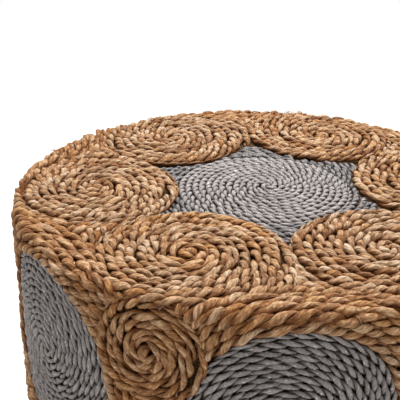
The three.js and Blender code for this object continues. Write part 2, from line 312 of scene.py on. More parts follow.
half_turn = np.linspace(0, math.pi, 200)
rim_place, rim_normal = wrap_side(drum_radius * half_turn, 0 * half_turn, FRONT)
even_place = resample(rim_place, rim_normal, 50.0, 0 * half_turn)[0]
print("half of the rim in even steps of 50 mm:", len(even_place), "places")

# %% [markdown]
# ## Twisted rope
# Two strands wind round each other, so a rope shows a row of beads, each thick in its
# middle and pinched where it goes under. A screw modifier on a curve would give a perfect
# machine-made twist. Here a strand is a tube whose middle runs in a helix about the route,
# worked out as whole arrays, because then its pace, thickness and folds can vary along it.

# %% The strands of one rope
# A strand's helix is a little flat, because the ropes are stitched down on the canvas.
FLAT = 0.92
# The length in millimetres over which a rope sways from its route.
SWAY_LENGTH = 32.0
# The length over which each value changes, in full twists of the rope.
CHANGES_OVER = {
    "wander": 1.3, "bob": 0.9, "pace": 1.5, "fatness": 0.4, "fold": 0.5, "ridges": 0.28,
    "tone": 0.5, "slow tone": 5, "mood": 0.7, "slow mood": 7,
}
# Spreads, as shares of the rope's or the strand's thickness, in a rope with rough at 1.
WANDER_SPREAD = 0.07
PACE_SPREAD = 0.22
FATNESS_SPREAD = 0.12
FOLD_SIZE = 0.11
RIDGE_SPREAD = 0.085
# The spread in radians of the side on which a strand is folded, and the slow change of its
# tone as a share of the quick one.
FOLD_TURN = 1.6
SLOW_TONE_SHARE = 0.4
# A strand is pressed thinner outwards and broader sideways, most at the middle of a bead.
OUTWARD_SHARE = 0.9
SIDEWAYS_SHARE = 1.1
SIDEWAYS_SWING = 0.1


def twist(route, rope, sides=10, per_lay=12, taper=None):
    """Two strands round a route.

    Middle of a strand: route + offset * (cos turn * sideways + sin turn * outwards), where
    the turn grows by a full circle each lay. The tube round it has its first direction away
    from the rope's middle and its second across that and the strand. Its radius grows by
    the bulge times the sine of the turn, and across the strand by more, so that each bead
    on the outside is thick and broad in its middle and pinched at its ends. It also swells
    by a cosine of twice the angle round it, whose phase wanders along the strand, and every
    line of points along the strand has ridges of its own, so that it looks like a folded
    leaf and not like a pipe.
    """
    place, normal = route
    if taper is None:
        taper = np.ones(len(place))
    lay, rough = rope["lay"], rope["rough"]
    place, normal, distance, size = resample(place, normal, lay / per_lay, taper)
    change = {what: lay * lays for what, lays in CHANGES_OVER.items()}
    along = np.gradient(place, axis=0)
    along /= np.linalg.norm(along, axis=1, keepdims=True)
    sideways = np.cross(along, normal)
    sideways /= np.linalg.norm(sideways, axis=1, keepdims=True)
    thickness = rope["pitch"] * size
    wander = uneven(distance, change["wander"], WANDER_SPREAD * rough) * thickness
    wander += uneven(distance, SWAY_LENGTH, rope["sway"]) * np.clip(size * 2 - 1, 0, 1)
    bob = uneven(distance, change["bob"], WANDER_SPREAD * rough) * thickness
    place = place + wander[:, None] * sideways + bob[:, None] * normal
    pace = 1 + uneven(distance, change["pace"], PACE_SPREAD * rough)
    turn = np.concatenate([[0], np.cumsum(np.diff(distance) * 2 * math.pi / lay * pace[1:])])
    turn = rope["hand"] * turn + rng.uniform(0, 2 * math.pi)
    strands = []
    around = np.linspace(0, 2 * math.pi, sides, endpoint=False)
    for start in (0, math.pi):
        lean = turn + start
        fat = 1 + uneven(distance, change["fatness"], FATNESS_SPREAD * rough)
        fat += rope["bulge"] * np.sin(lean)
        away = np.cos(lean)[:, None] * sideways + FLAT * np.sin(lean)[:, None] * normal
        middle = place + rope["ply_offset"] * thickness[:, None] * away
        away /= np.linalg.norm(away, axis=1, keepdims=True)
        strand_along = np.gradient(middle, axis=0)
        strand_along /= np.linalg.norm(strand_along, axis=1, keepdims=True)
        across = np.cross(strand_along, away)
        across /= np.linalg.norm(across, axis=1, keepdims=True)
        away = np.cross(across, strand_along)
        fold = uneven(distance, change["fold"], FOLD_TURN)[:, None]
        ridges = uneven(distance, change["ridges"], RIDGE_SPREAD * rough, sides)
        section = 1 + FOLD_SIZE * rough * np.cos(2 * around + fold) + ridges
        radius = rope["ply_radius"] * (thickness * fat)[:, None] * section
        wide = SIDEWAYS_SHARE + SIDEWAYS_SWING * np.sin(lean)
        ring = middle[:, None] + radius[:, :, None] * (
            np.cos(around)[None, :, None] * away[:, None] * OUTWARD_SHARE
            + np.sin(around)[None, :, None] * across[:, None] * wide[:, None, None]
        )
        out = np.einsum("ijk,ik->ij", ring - place[:, None], normal) / thickness[:, None]
        tone = uneven(distance, change["tone"], rope["tone"]) + rope["mean_tone"]
        tone += uneven(distance, change["slow tone"], SLOW_TONE_SHARE * rope["tone"])
        mood = uneven(distance, change["mood"], rope["mood"]) + rope["mean_mood"]
        mood += uneven(distance, change["slow mood"], rope["mood"])
        girth = 2 * math.pi * rope["ply_radius"] * thickness
        strands.append({
            "ring": ring, "out": out, "distance": distance,
            "tone": tone, "mood": mood, "girth": girth,
        })
    return strands


bead_length = BROWN["lay"] / 2
print("a bead of brown rope is", bead_length, "mm long, and one of grey cord", GREY["lay"] / 2)

# %% [markdown]
# ## From strands to a mesh
# A coil on the real stool is one long rope, so here it is one object with two strands. A
# mesh could be built face by face, but tens of thousands of faces are quicker as whole
# arrays: the rings of points, the four-sided faces between them and one many-sided face at
# each end, so that every strand is a closed body. Ends that are pushed down deep would come
# out on the inner side of the canvas, so they are pressed flat on it. A UV map runs along
# the fibre, and three values on each point tell the material its tone, its mood and how far
# out it lies.

# %% One piece of rope
CANVAS_CLEARANCE = 0.15


def add_piece(name, mesh, material):
    """A finished object of a mesh and its material, which rides on the stool's one body."""
    mesh.materials.append(material)
    piece = bpy.data.objects.new(name, mesh)
    bpy.context.collection.objects.link(piece)
    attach(piece, "root")
    return piece


def outside_canvas(points):
    """Points inside the cap go to its surface by the shorter way: straight out or straight up."""
    radius = np.hypot(points[:, 0], points[:, 1])
    to_side = lining_radius + CANVAS_CLEARANCE - radius
    to_top = lining_top + CANVAS_CLEARANCE - points[:, 2]
    inside = (to_side > 0) & (to_top > 0)
    goes_out = inside & (to_side < to_top)
    goes_up = inside & ~goes_out
    points[goes_out, :2] *= (1 + to_side / np.maximum(radius, 1))[goes_out, None]
    points[goes_up, 2] += to_top[goes_up]
    return points


def add_rope_piece(name, strands, material, stands_for=()):
    """Joins strands in one mesh with a UV map along the fibre and three point values."""
    points, corners, totals, uvs = [], [], [], []
    values = {"tone": [], "mood": [], "out": []}
    first = 0
    for strand in strands:
        ring = strand["ring"]
        rows, sides = ring.shape[:2]
        index = first + np.arange(rows * sides).reshape(rows, sides)
        following = np.roll(index, -1, axis=1)
        quads = np.stack([index[:-1], following[:-1], following[1:], index[1:]], -1).reshape(-1, 4)
        row = np.repeat(np.arange(rows - 1), sides)
        side = np.tile(np.arange(sides), rows - 1)
        u = np.stack([strand["distance"][row + step] for step in (0, 0, 1, 1)], -1)
        share = np.stack([(side + step) / sides for step in (0, 1, 1, 0)], -1)
        v = share * strand["girth"].mean()
        uvs.append(np.stack([u / MM, v / MM], -1).reshape(-1, 2))
        corners.append(quads.ravel())
        totals.append(np.full(len(quads), 4))
        for end in (index[0][::-1], index[-1]):
            corners.append(end)
            totals.append(np.array([sides]))
            uvs.append(np.zeros((sides, 2)))
        points.append(ring.reshape(-1, 3))
        values["out"].append(strand["out"].ravel())
        values["tone"].append(np.repeat(strand["tone"], sides))
        values["mood"].append(np.repeat(strand["mood"], sides))
        first += rows * sides
    points = outside_canvas(np.concatenate(points)) / MM
    # What would reach below the floor is pressed flat on it.
    points[:, 2] = np.maximum(points[:, 2], 0)
    corners = np.concatenate(corners)
    totals = np.concatenate(totals)
    mesh = bpy.data.meshes.new(name)
    mesh.vertices.add(len(points))
    mesh.vertices.foreach_set("co", points.ravel())
    mesh.loops.add(len(corners))
    mesh.loops.foreach_set("vertex_index", corners)
    mesh.polygons.add(len(totals))
    mesh.polygons.foreach_set("loop_start", np.concatenate([[0], np.cumsum(totals)[:-1]]))
    mesh.polygons.foreach_set("loop_total", totals)
    mesh.polygons.foreach_set("use_smooth", np.ones(len(totals), bool))
    mesh.uv_layers.new(name="fibre").data.foreach_set("uv", np.concatenate(uvs).ravel())
    for key, parts in values.items():
        layer = mesh.attributes.new(key, "FLOAT", "POINT")
        layer.data.foreach_set("value", np.concatenate(parts).astype(np.float32))
    mesh.update(calc_edges=True)
    piece = add_piece(name, mesh, material)
    if stands_for:
        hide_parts(*stands_for)
    return piece


print("ropes stay", CANVAS_CLEARANCE, "mm off the canvas, which is", round(lining_top, 1), "mm high")

# %% [markdown]
# ## Colours and nodes
# Every finish here is a small network of nodes. It could be clicked together in the shader
# editor, but in a script it can be read from top to bottom, so one helper adds a node with
# its settings, its stops and its links, whatever its kind. Colours are written as they look
# on a screen, and one function turns them into the linear values that a shader works with.

# %% Helpers for every material
# A wave texture of scale 1 has this many waves in a metre.
WAVES_PER_METRE = 20 / (2 * math.pi)


def linear(hex_colour):
    """sRGB hex to linear red, green, blue, alpha: a power of 2.4, and straight near black."""
    parts = [int(hex_colour[i:i + 2], 16) / 255 for i in (1, 3, 5)]
    return [p / 12.92 if p <= 0.04045 else ((p + 0.055) / 1.055) ** 2.4 for p in parts] + [1.0]


def node(tree, kind, settings=None, stops=(), **inputs):
    """Adds one node with its properties, its inputs and, on a ramp, its (place, colour) stops.

    An input is named as its socket is, with _ for a blank, or i and its number; a socket
    given as its value is linked.
    """
    made = tree.nodes.new(kind)
    for key, value in (settings or {}).items():
        setattr(made, key, value)
    for number, (place, colour) in enumerate(stops):
        elements = made.color_ramp.elements
        element = elements[number] if number < len(elements) else elements.new(place)
        element.position = place
        element.color = linear(colour)
    for key, value in inputs.items():
        numbered = key[0] == "i" and key[1:].isdigit()
        socket = made.inputs[int(key[1:]) if numbered else key.replace("_", " ")]
        if isinstance(value, bpy.types.NodeSocket):
            tree.links.new(value, socket)
        else:
            socket.default_value = value
    return made


def start_material(name):
    """An empty material with a shader and an output; returns them and the node tree."""
    material = bpy.data.materials.new(name)
    material.use_nodes = True
    tree = material.node_tree
    tree.nodes.clear()
    shader = node(tree, "ShaderNodeBsdfPrincipled")
    output = node(tree, "ShaderNodeOutputMaterial", Surface=shader.outputs[0])
    return material, tree, shader, output


print("mid grey on the screen is", round(linear("#808080")[0], 3), "in linear light")

# %% [markdown]
# ## Twisted fibre
# Each bead of the real rope has its own tan, and fine creases run along it. Down in the clefts
# between strands shade is painted darker and warmer, the flanks of a bead are painted a
# little darker and its crown paler. One noise over everything would ignore the twist, so the
# tone and mood of each bead come from the points, the creases follow the fibre's UV map, and
# the distance from the rope's middle says what is a cleft.

# %% The network for a rope
# A crease is this many times longer than it is wide.
CREASE_LENGTHS = 2.6


def rope_material(
    name, pale, warm, cleft_shade_colour, depth, crease_mm, contrast, relief_mm, roughness, specular, painted_glint=0.0,
):
    """Two ramps chosen by strand, creases along the fibre, and painted shade and highlight: darker
    in the clefts and on a bead's flanks, paler on its crown.

    A glint above zero paints small pale flecks, painted highlights where single fibres catch
    the light.
    """
    material, tree, shader, output = start_material(name)
    tone = node(tree, "ShaderNodeAttribute", {"attribute_name": "tone"}).outputs["Fac"]
    mood = node(tree, "ShaderNodeAttribute", {"attribute_name": "mood"}).outputs["Fac"]
    out = node(tree, "ShaderNodeAttribute", {"attribute_name": "out"}).outputs["Fac"]
    uv = node(tree, "ShaderNodeUVMap", {"uv_map": "fibre"}).outputs["UV"]
    across = MM / crease_mm
    fibre = node(tree, "ShaderNodeMapping", i0=uv, i3=(across / CREASE_LENGTHS, across, 1)).outputs[0]
    creases = node(
        tree, "ShaderNodeTexNoise", Vector=fibre, Scale=1.0, Detail=2.5, Roughness=0.6
    ).outputs["Fac"]
    # The middle part of the noise is stretched to full contrast, so that creases have edges.
    sharp = node(
        tree, "ShaderNodeMapRange", Value=creases, i1=0.36, i2=0.62, i3=0.0, i4=1.0
    ).outputs[0]
    # The crease noise also shifts the colour: partly streaks of the fibre's own tan, partly painted
    # shade where a crease lies low.
    shift = node(
        tree, "ShaderNodeMath", {"operation": "MULTIPLY_ADD"}, i0=sharp, i1=contrast, i2=-contrast / 2
    ).outputs[0]
    # Painted light: the crown of a bead is painted paler as a highlight, and its flanks darker as
    # shade.
    crown_highlight_flank_shade = node(tree, "ShaderNodeMapRange", i0=out, i1=0.15, i2=0.52, i3=-0.14, i4=0.16).outputs[0]
    even = node(tree, "ShaderNodeMath", {"operation": "ADD"}, i0=tone, i1=shift).outputs[0]
    shade = node(tree, "ShaderNodeMath", {"operation": "ADD"}, i0=even, i1=crown_highlight_flank_shade).outputs[0]
    tans = node(tree, "ShaderNodeValToRGB", stops=pale, i0=shade).outputs["Color"]
    browns = node(tree, "ShaderNodeValToRGB", stops=warm, i0=shade).outputs["Color"]
    plain = node(
        tree, "ShaderNodeMix", {"data_type": "RGBA"}, i0=mood, i6=tans, i7=browns
    ).outputs[2]
    # Painted shade in the clefts: below the first depth the cleft's dark colour takes over nine
    # tenths, above the second nothing.
    low = node(
        tree, "ShaderNodeMapRange", i0=out, i1=depth[0], i2=depth[1], i3=0.9, i4=0.0
    ).outputs[0]
    colour = node(tree, "ShaderNodeMix", {"data_type": "RGBA"}, i0=low, i6=plain, i7=linear(cleft_shade_colour))
    bump = node(tree, "ShaderNodeBump", Height=sharp, Distance=relief_mm / MM, Strength=1.0)
    if painted_glint:
        # Painted highlights: only the highest spots of the noise are painted near white, and only on
        # the crown of a bead.
        flecks = node(
            tree, "ShaderNodeTexNoise", Vector=fibre, Scale=1.3, Detail=0.0
        ).outputs["Fac"]
        bright = node(
            tree, "ShaderNodeMapRange", i0=flecks, i1=0.68, i2=0.76, i3=0.0, i4=painted_glint
        ).outputs[0]
        top = node(tree, "ShaderNodeMapRange", i0=out, i1=0.2, i2=0.4, i3=0.0, i4=1.0).outputs[0]
        share = node(
            tree, "ShaderNodeMath", {"operation": "MULTIPLY"}, i0=bright, i1=top
        ).outputs[0]
        colour = node(
            tree, "ShaderNodeMix", {"data_type": "RGBA"},
            i0=share, i6=colour.outputs[2], i7=linear("#EFECEA"),
        )
    tree.links.new(colour.outputs[2], shader.inputs["Base Color"])
    tree.links.new(bump.outputs[0], shader.inputs["Normal"])
    shader.inputs["Roughness"].default_value = roughness
    shader.inputs["Specular IOR Level"].default_value = specular
    return material


print("a bead's creases are", CREASE_LENGTHS, "times longer than wide")

# %% [markdown]
# ## The finishes of the two ropes
# The brown rope is water plant, dried and twisted by hand: dull, dry fibre in many tans,
# from bleached straw to red brown. The grey cord is grass dyed in one bath: even in colour,
# smoother, with a soft shine on the turns. Both use the same network, because both are
# twisted leaf, and only their colours, the depth of their creases, their gloss and the grey's
# painted glints differ.

# %% Brown rope and grey cord
# Dry leaf is matt, so the light on it is soft and its colours stay full. Its real creases
# are half a millimetre apart, too fine to show, so they are drawn four times as coarse.
brown_fibre = rope_material(
    "dried_water_plant_rope_twisted",
    pale=[(0.0, "#6C4324"), (0.35, "#9D7552"), (0.65, "#BA9471"), (1.0, "#DFC2A3")],
    warm=[(0.0, "#5E3717"), (0.35, "#955F31"), (0.65, "#B27943"), (1.0, "#D5A671")],
    # The clefts are painted a warm dark brown as shade.
    cleft_shade_colour="#874C19", depth=(-0.15, 0.38), crease_mm=2.0, contrast=0.60, relief_mm=1.4,
    roughness=0.75, specular=0.3,
)
# Dyed grass keeps a little of its waxy skin, so it is glossier, and its small cool glints
# are painted on as pale flecks. Its creases are finer than the leaf's and are drawn three
# times as coarse as they are.
grey_fibre = rope_material(
    "dyed_grass_cord_twisted",
    pale=[(0.0, "#6C6562"), (0.35, "#9A928F"), (0.65, "#B3AAA7"), (1.0, "#CFC8C4")],
    warm=[(0.0, "#5C5858"), (0.35, "#8F8887"), (0.65, "#A79F9C"), (1.0, "#C0B9B6")],
    # The clefts of the cord are painted almost black as shade.
    cleft_shade_colour="#1B1A1C", depth=(-0.2, 0.26), crease_mm=1.5, contrast=0.34, relief_mm=0.6,
    roughness=0.42, specular=0.5, painted_glint=0.8,
)
print("rope materials:", brown_fibre.name, grey_fibre.name)

# %% [markdown]
# ## Flat spirals
# On the real stool a coil starts with a tight bend in its middle and grows by one rope a
# turn. Rings inside each other would be simpler, but they have no start and no end, and the
# eye follows the real spiral out from the middle. The last turn thins out along the turn
# before it, the way a maker tucks the end in, so that the coil ends round.

# %% Spiral routes
# The tail of a coil never gets thinner than this share of its rope.
THINNEST_TAIL = 0.3


def spiral(rope, reach, widen=1.0, start=0.15, tail_turns=0.8, steps=60):
    """Archimedean spiral: radius = pitch * turns; the tail keeps to the turn before it.

    In the tail the thickness falls in a straight line, and the radius is the radius one
    turn before, plus half of the full rope and half of the thinning one.
    """
    pitch = rope["pitch"]
    full = reach / pitch
    turns = np.arange(start, full + tail_turns, 1 / steps)
    past = np.clip(turns - full, 0, None)
    thickness = 1 - past
    tail_radius = pitch * (turns - 1) + pitch / 2 + pitch * thickness / 2
    radius = np.where(past > 0, tail_radius, pitch * turns)
    angle = 2 * math.pi * turns
    taper = np.clip(thickness, THINNEST_TAIL, 1)
    return radius * np.cos(angle), widen * radius * np.sin(angle), taper


def coil(route, rope, taper, lift=0.0, **more):
    """Strands of a rope along a wrapped route, raised by lift along the normal."""
    place, normal = route
    return twist((place + normal * lift, normal), rope, taper=taper, **more)


print("a top coil's rope has", round(coil_half_depth / BROWN["pitch"], 1), "turns")

# %% [markdown]
# ## Where the coils of the top lie
# Six brown coils fill the ring between the star and the rim, so they are a little wider
# than deep. Six equal ovals would make a perfect star, but the real one is a little askew:
# in the photograph, each coil's edge toward the star lies some millimetres further in or
# out, and the coil lies a little further round. The edge at the rim stays where it is.

# %% Places of the top coils
# For each coil from the front right one round: edge further out, and place further round.
SEEN_TOP_MOVES = ((-2.0, 3.0), (4.0, 1.5), (9.0, 1.0), (2.0, 3.0), (-1.5, 1.5), (-5.0, 1.5))
top_places = [
    (coil_centre + out / 2, around, coil_half_depth - out / 2, coil_half_width)
    for out, around in SEEN_TOP_MOVES
]
print("the top coils are", [round(2 * place[2]) for place in top_places], "mm deep")

# %% [markdown]
# ## The star and the coils of the top
# In the middle of the seat lies one round grey coil, and the brown ones close in on it and
# turn its edge into a star. The star could be cut out of a flat disc, but on the real stool
# the cord runs on underneath, so the grey coil is whole, lies lower, and goes down further
# at its edge, where the brown coils press on it.

# %% Star and top coils
# The grey cord is thinner than the rope, so it lies lower and needs fewer points.
GREY_SINK = -2.2
CORD_DETAIL = {"sides": 8, "per_lay": 9}
# The last turns of the star go down, over so many turns and by so many millimetres.
STAR_EDGE_TURNS = 2.5
STAR_EDGE_SINK = 1.3
# As on the real one, the star's middle lies a little to the back and to the right, and its
# edge doesn't: this is the shift in millimetres toward the front tip and square to it.
STAR_MIDDLE = (-5.0, 4.0)
x, y, taper = spiral(GREY, star_radius - GREY["pitch"] / 2)
off_centre = 1 - np.hypot(x, y) / star_radius
to_edge = off_centre * star_radius / (STAR_EDGE_TURNS * GREY["pitch"])
x = x + STAR_MIDDLE[0] * off_centre
y = y + STAR_MIDDLE[1] * off_centre
sink = GREY_SINK - STAR_EDGE_SINK * np.clip(1 - to_edge, 0, 1)[:, None]
star_edge_lift = sink.min()
star = add_rope_piece(
    "grey_star_coil",
    coil(wrap_top(x, y, FRONT), GREY, taper, lift=sink, **CORD_DETAIL),
    grey_fibre, ["star_coil"],
)
for column, (centre_out, centre_round, half_depth, half_width) in enumerate(top_places):
    azimuth = FRONT + COLUMN_STEP / 2 + column * COLUMN_STEP
    reach = half_depth - BROWN["pitch"] / 2
    x, y, taper = spiral(BROWN, reach, widen=(half_width - BROWN["pitch"] / 2) / reach)
    add_rope_piece(
        f"brown_top_coil_{column + 1}",
        coil(wrap_top(centre_out + x, centre_round + y, azimuth), BROWN, taper),
        brown_fibre, [f"top_coil_{column + 1}"],
    )
print("star and top coils,", len(star.data.polygons), "faces in the star")

# %% [markdown]
# ## Where the side coils lie
# The side has two rows of six large grey coils, with two small brown ones between each pair
# of neighbours. They could sit on an exact grid, but coils placed by hand are never quite
# where they should be. Each is moved a millimetre or two by chance, and the three that face
# the camera are moved as they are in the photograph. The small coils under the rim are
# wound one turn further than the others, until they touch the grey ones. A place holds
# along and rise on the unrolled sheet of a column, and the coil's radius.

# %% Places of the side coils
ROWS = ("upper", "lower")
row_heights = {"upper": medallion_height, "lower": drum_height - medallion_height}
small_offset = drum_height - small_drop - medallion_height
# By chance a coil is moved along and up by these spreads, and never by more than the last.
HAND_SPREAD = (1.4, 1.0)
HAND_MOST = 2
SEEN_MOVES = {
    ("grey", "upper", 0): (-5.0, -2.0),
    ("grey", "upper", 5): (4.5, 0.0),
    ("small_high", "upper", 5): (5.0, 3.0),
}
places = {}
for row in ROWS:
    for column in range(COLUMNS):
        for kind, offset in (("grey", 0), ("small_high", small_offset), ("small_low", -small_offset)):
            move = np.clip(rng.normal(0, HAND_SPREAD), -HAND_MOST, HAND_MOST)
            move = SEEN_MOVES.get((kind, row, column), move)
            reach = medallion_radius if kind == "grey" else small_radius
            if (kind, row) == ("small_high", "upper"):
                reach += BROWN["pitch"]
            rise = row_heights[row] + offset - drum_height + move[1]
            places[kind, row, column] = (move[0], rise, reach)
print("the front grey coil lies at", [round(float(v), 1) for v in places["grey", "upper", 0]])

# %% [markdown]
# ## Side coils
# Each is the same flat spiral as on the top, drawn on the unrolled side and wrapped round
# the drum. One coil could be made once and copied round, but its beads would then repeat
# every sixty degrees, and on the real stool no two are alike, so each is twisted anew. The
# grey ones lie lower than the brown ones, as a thinner cord does.

# %% Grey and small brown coils
GREY_SIDE_SINK = -1.6


def side_coil(kind, row, column, azimuth, rope, lift=0.0, **more):
    """One flat spiral on the side, at its place."""
    centre_along, centre_rise, reach = places[kind, row, column]
    along, rise, taper = spiral(rope, reach - rope["pitch"] / 2)
    route = wrap_side(along + centre_along, rise + centre_rise, azimuth)
    return coil(route, rope, taper, lift, **more)


for row in ROWS:
    for column in range(COLUMNS):
        azimuth = FRONT + column * COLUMN_STEP
        grey_coil = add_rope_piece(
            f"grey_side_coil_{row}_{column + 1}",
            side_coil("grey", row, column, azimuth, SLACK_GREY, GREY_SIDE_SINK, **CORD_DETAIL),
            grey_fibre, [f"medallion_{row}_{column + 1}"],
        )
        strands = []
        for kind in ("small_high", "small_low"):
            strands += side_coil(kind, row, column, azimuth + COLUMN_STEP / 2, SLACK_BROWN)
        add_rope_piece(
            f"brown_side_panel_{row}_{column + 1}", strands, brown_fibre,
            [f"scroll_{row}_{column + 1}"],
        )
print("side coils,", len(grey_coil.data.polygons), "faces in a grey one")

# %% [markdown]
# ## Filling the corners
# Round coils leave corners open between them. The maker fills them with short ropes laid
# along the edge of the next coil, and pushes each end down between its neighbours. Every
# short rope could be drawn by hand, but there are hundreds. Instead a family of circles
# round each grey coil is cut wherever it runs into another coil, and each stretch that is
# left becomes a rope whose ends dive and thin.

# %% Cutting routes where they run into coils
def runs(keep, shortest):
    """Start and end of each unbroken stretch of True values."""
    edges = np.flatnonzero(np.diff(np.concatenate([[0], keep.astype(int), [0]])))
    return [(a, b) for a, b in zip(edges[::2], edges[1::2]) if b - a >= shortest]


END_THINNING = 0.45


def laid(route, rope, lift=0.0, end_length=9.0, depth=3.4, **more):
    """A rope whose two ends are pushed down by depth over a length, and thin there.

    Both grow with the square of the share of that length that is past.
    """
    place, normal = route
    travelled = np.concatenate([[0], np.cumsum(np.linalg.norm(np.diff(place, axis=0), axis=1))])
    to_end = np.minimum(travelled, travelled[-1] - travelled)
    share = np.clip(1 - to_end / end_length, 0, 1) ** 2
    place = place + normal * (lift - depth * share)[:, None]
    return twist((place, normal), rope, taper=1 - END_THINNING * share, **more)


def beside_tip(column):
    """The two top coils beside a star tip: the turn from the tip to each, and its place."""
    return (
        (-COLUMN_STEP / 2, top_places[(column - 1) % COLUMNS]),
        (COLUMN_STEP / 2, top_places[column]),
    )


def inside_top_coil(x, y, margin, column):
    """True where a place of the top, in the frame of a star tip, is in a coil beside it.

    In an oval, (depth / half depth) squared + (width / half width) squared is less than 1.
    The margin is added to both halves.
    """
    hit = np.zeros(np.shape(x), bool)
    for angle, (centre_out, centre_round, half_depth, half_width) in beside_tip(column):
        depth = math.cos(angle) * x + math.sin(angle) * y - centre_out
        width = math.cos(angle) * y - math.sin(angle) * x - centre_round
        hit |= (depth / (half_depth + margin)) ** 2 + (width / (half_width + margin)) ** 2 < 1
    return hit


stretches = runs(np.array([False, True, True, True, False, True]), 2)
print("an example of runs of at least two:", [(int(a), int(b)) for a, b in stretches])

# %% [markdown]
# ## Circles round a grey coil
# The ropes beside a grey coil keep to its edge, as ripples keep to a stone's. Above it they
# pass over the rim and lie on the top up to the oval coils. Straight ropes along the rim
# would be easier, but in the photograph they arch over each grey coil. Where two columns
# meet, ropes from both sides cross over each other in turn.

# %% Ropes laid round a grey side coil
# Rows of rope on the top, and ropes in the narrow waist between two grey coils.
TOP_ROWS = 4
WAIST_ROPES = 4
# In widths of rope: how far an end is tucked under a coil, in the layer that shows and in
# the one beneath it, how far a rope passes the line where two columns meet, and how far
# before it the next one stops.
TUCKED = 0.35
UNDER_TUCKED = 1.2
PASSING = 0.30
STOPPING = 0.45
# In widths of rope: the space kept free below the line at half height and above the lower
# edge, and how far past the last whole row of the top a rope may reach.
EDGE_SPACE = 0.4
TOP_SPACE = 0.2
# In millimetres: the gap round the grey coil, and the lowest rise of a rope over the rim.
GREY_GAP = 0.3
OVER_RIM = -2
MOST_CIRCLES = 14
# Fewer points in a row than this, a quarter of a degree apart, make no rope.
SHORTEST = 10


def around_medallion(row_name, column, shift=0.0, tucked=TUCKED):
    """Circles round a grey coil, cut by the small coils, the top coils and the band's edges.

    Beside the coil four ropes share the width to the next column, so the circles' pitch
    changes there by the sixth power of the cosine of the angle. Where two columns meet, the
    rope of one column passes in every other row and the rope of its neighbour stops.
    A shift of half a row gives the places between the ropes.
    """
    pitch = BROWN["pitch"]
    angle = np.radians(np.arange(-90, 270.25, 0.25))
    over_top, on_side = [], []
    half = column_width / 2
    inner = medallion_radius + GREY_GAP
    middle = drum_height / 2 - drum_height
    if row_name == "upper":
        lowest, highest = middle, (TOP_ROWS + TOP_SPACE) * pitch
    else:
        lowest, highest = EDGE_SPACE * pitch - drum_height, middle - EDGE_SPACE * pitch
    centre = places["grey", row_name, column]
    smalls = [
        (places[kind, row_name, (column + turn) % COLUMNS], side)
        for kind in ("small_high", "small_low") for turn, side in ((-1, -1), (0, 1))
    ]
    waist_pitch = (half - inner - pitch) / WAIST_ROPES
    for row in range(MOST_CIRCLES):
        low_radius = inner + pitch / 2 + (row + shift) * pitch
        waist_radius = inner + pitch + (row + shift - 0.5) * waist_pitch if row else low_radius
        radius = low_radius + (waist_radius - low_radius) * np.abs(np.cos(angle)) ** 6
        along = centre[0] + radius * np.cos(angle)
        rise = centre[1] + radius * np.sin(angle)
        passes = np.sign(along) * (-1) ** row > 0
        keep = np.abs(along) < half + pitch * np.where(passes, PASSING, -STOPPING)
        for small, side in smalls:
            far = np.hypot(along - side * half - small[0], rise - small[1])
            keep &= far > small[2] - tucked * pitch
        keep &= (rise > lowest) & (rise < highest)
        flat = drum_radius - pitch / 2 - rise
        x = flat * np.cos(along / drum_radius)
        y = flat * np.sin(along / drum_radius)
        keep &= ~((rise > 0) & inside_top_coil(x, y, -tucked * pitch, column))
        for a, b in runs(keep, SHORTEST):
            stretches = over_top if rise[a:b].max() > OVER_RIM else on_side
            stretches.append((along[a:b], rise[a:b]))
    return over_top, on_side


print("circles round the front grey coil:", sum(map(len, around_medallion("upper", 0))), "stretches")

# %% [markdown]
# ## The corners at the star's tips
# Between two oval coils a narrow corner runs from the star's tip out to the rim. The maker
# brings a rope in along one coil, turns it in the corner and goes back along the other, and
# fills what is left with one straight rope. The circles round the side coils could run on
# into it, but they would meet the ovals at a slant and leave dark gaps.

# %% Ropes that turn in the narrow corner between two top coils
# The part of the oval that a hairpin follows, in degrees from the rim's side of the coil.
HAIRPIN_ARC = (5, 125)
HAIRPIN_ROWS = 3
# In widths of rope: where the first one lies beside the coil, how near it comes to the line
# between the coils, and the space between it and the rim's ropes.
FIRST_HAIRPIN = 0.45
TURN_SPACE = 0.25
RIM_SPACE = 0.1
# The straight rope reaches from the star's tip to the rim, in shares of the coils' distance
# from the drum's middle, and bends a little from side to side, in millimetres.
CORE_REACH = (0.77, 1.27)
CORE_BEND = 0.8
CORE_BEND_LENGTH = 6
# Fewer points than this in a half of a hairpin make no rope.
SHORTEST_HALF = 12


def hairpins(column):
    """Ropes that run along one top coil to the narrow corner, turn there and come back.

    Each half is an oval round its coil, cut before it reaches the line between the coils.
    """
    routes = []
    inner_edge = drum_radius - (TOP_ROWS + RIM_SPACE) * BROWN["pitch"]
    angle = np.linspace(*np.radians(HAIRPIN_ARC), 400)
    for row in range(HAIRPIN_ROWS):
        grown = BROWN["pitch"] * (row + FIRST_HAIRPIN)
        halves = []
        for turn, (centre_out, centre_round, half_depth, half_width) in beside_tip(column):
            side = -np.sign(turn)
            depth = centre_out + (half_depth + grown) * np.cos(angle)
            width = centre_round + side * (half_width + grown) * np.sin(angle)
            x = math.cos(turn) * depth - math.sin(turn) * width
            y = math.sin(turn) * depth + math.cos(turn) * width
            keep = (-side * y > TURN_SPACE * BROWN["pitch"]) & (np.hypot(x, y) < inner_edge)
            halves.append((x[keep], y[keep]))
        (x_in, y_in), (x_out, y_out) = halves
        if min(len(x_in), len(x_out)) > SHORTEST_HALF:
            routes.append((
                np.concatenate([x_in, x_out[::-1]]), np.concatenate([y_in, y_out[::-1]]),
            ))
    return routes


def corner_core(column):
    """One straight rope between two top coils, from the star's tip to the rim's ropes.

    x runs straight out, and y is the middle between the coils + bend * sine of (x / length).
    """
    x = np.linspace(coil_centre * CORE_REACH[0], coil_centre * CORE_REACH[1], 90)
    middle = sum(place[1] for turn, place in beside_tip(column)) / 2
    return x, middle + CORE_BEND * np.sin(x / CORE_BEND_LENGTH)


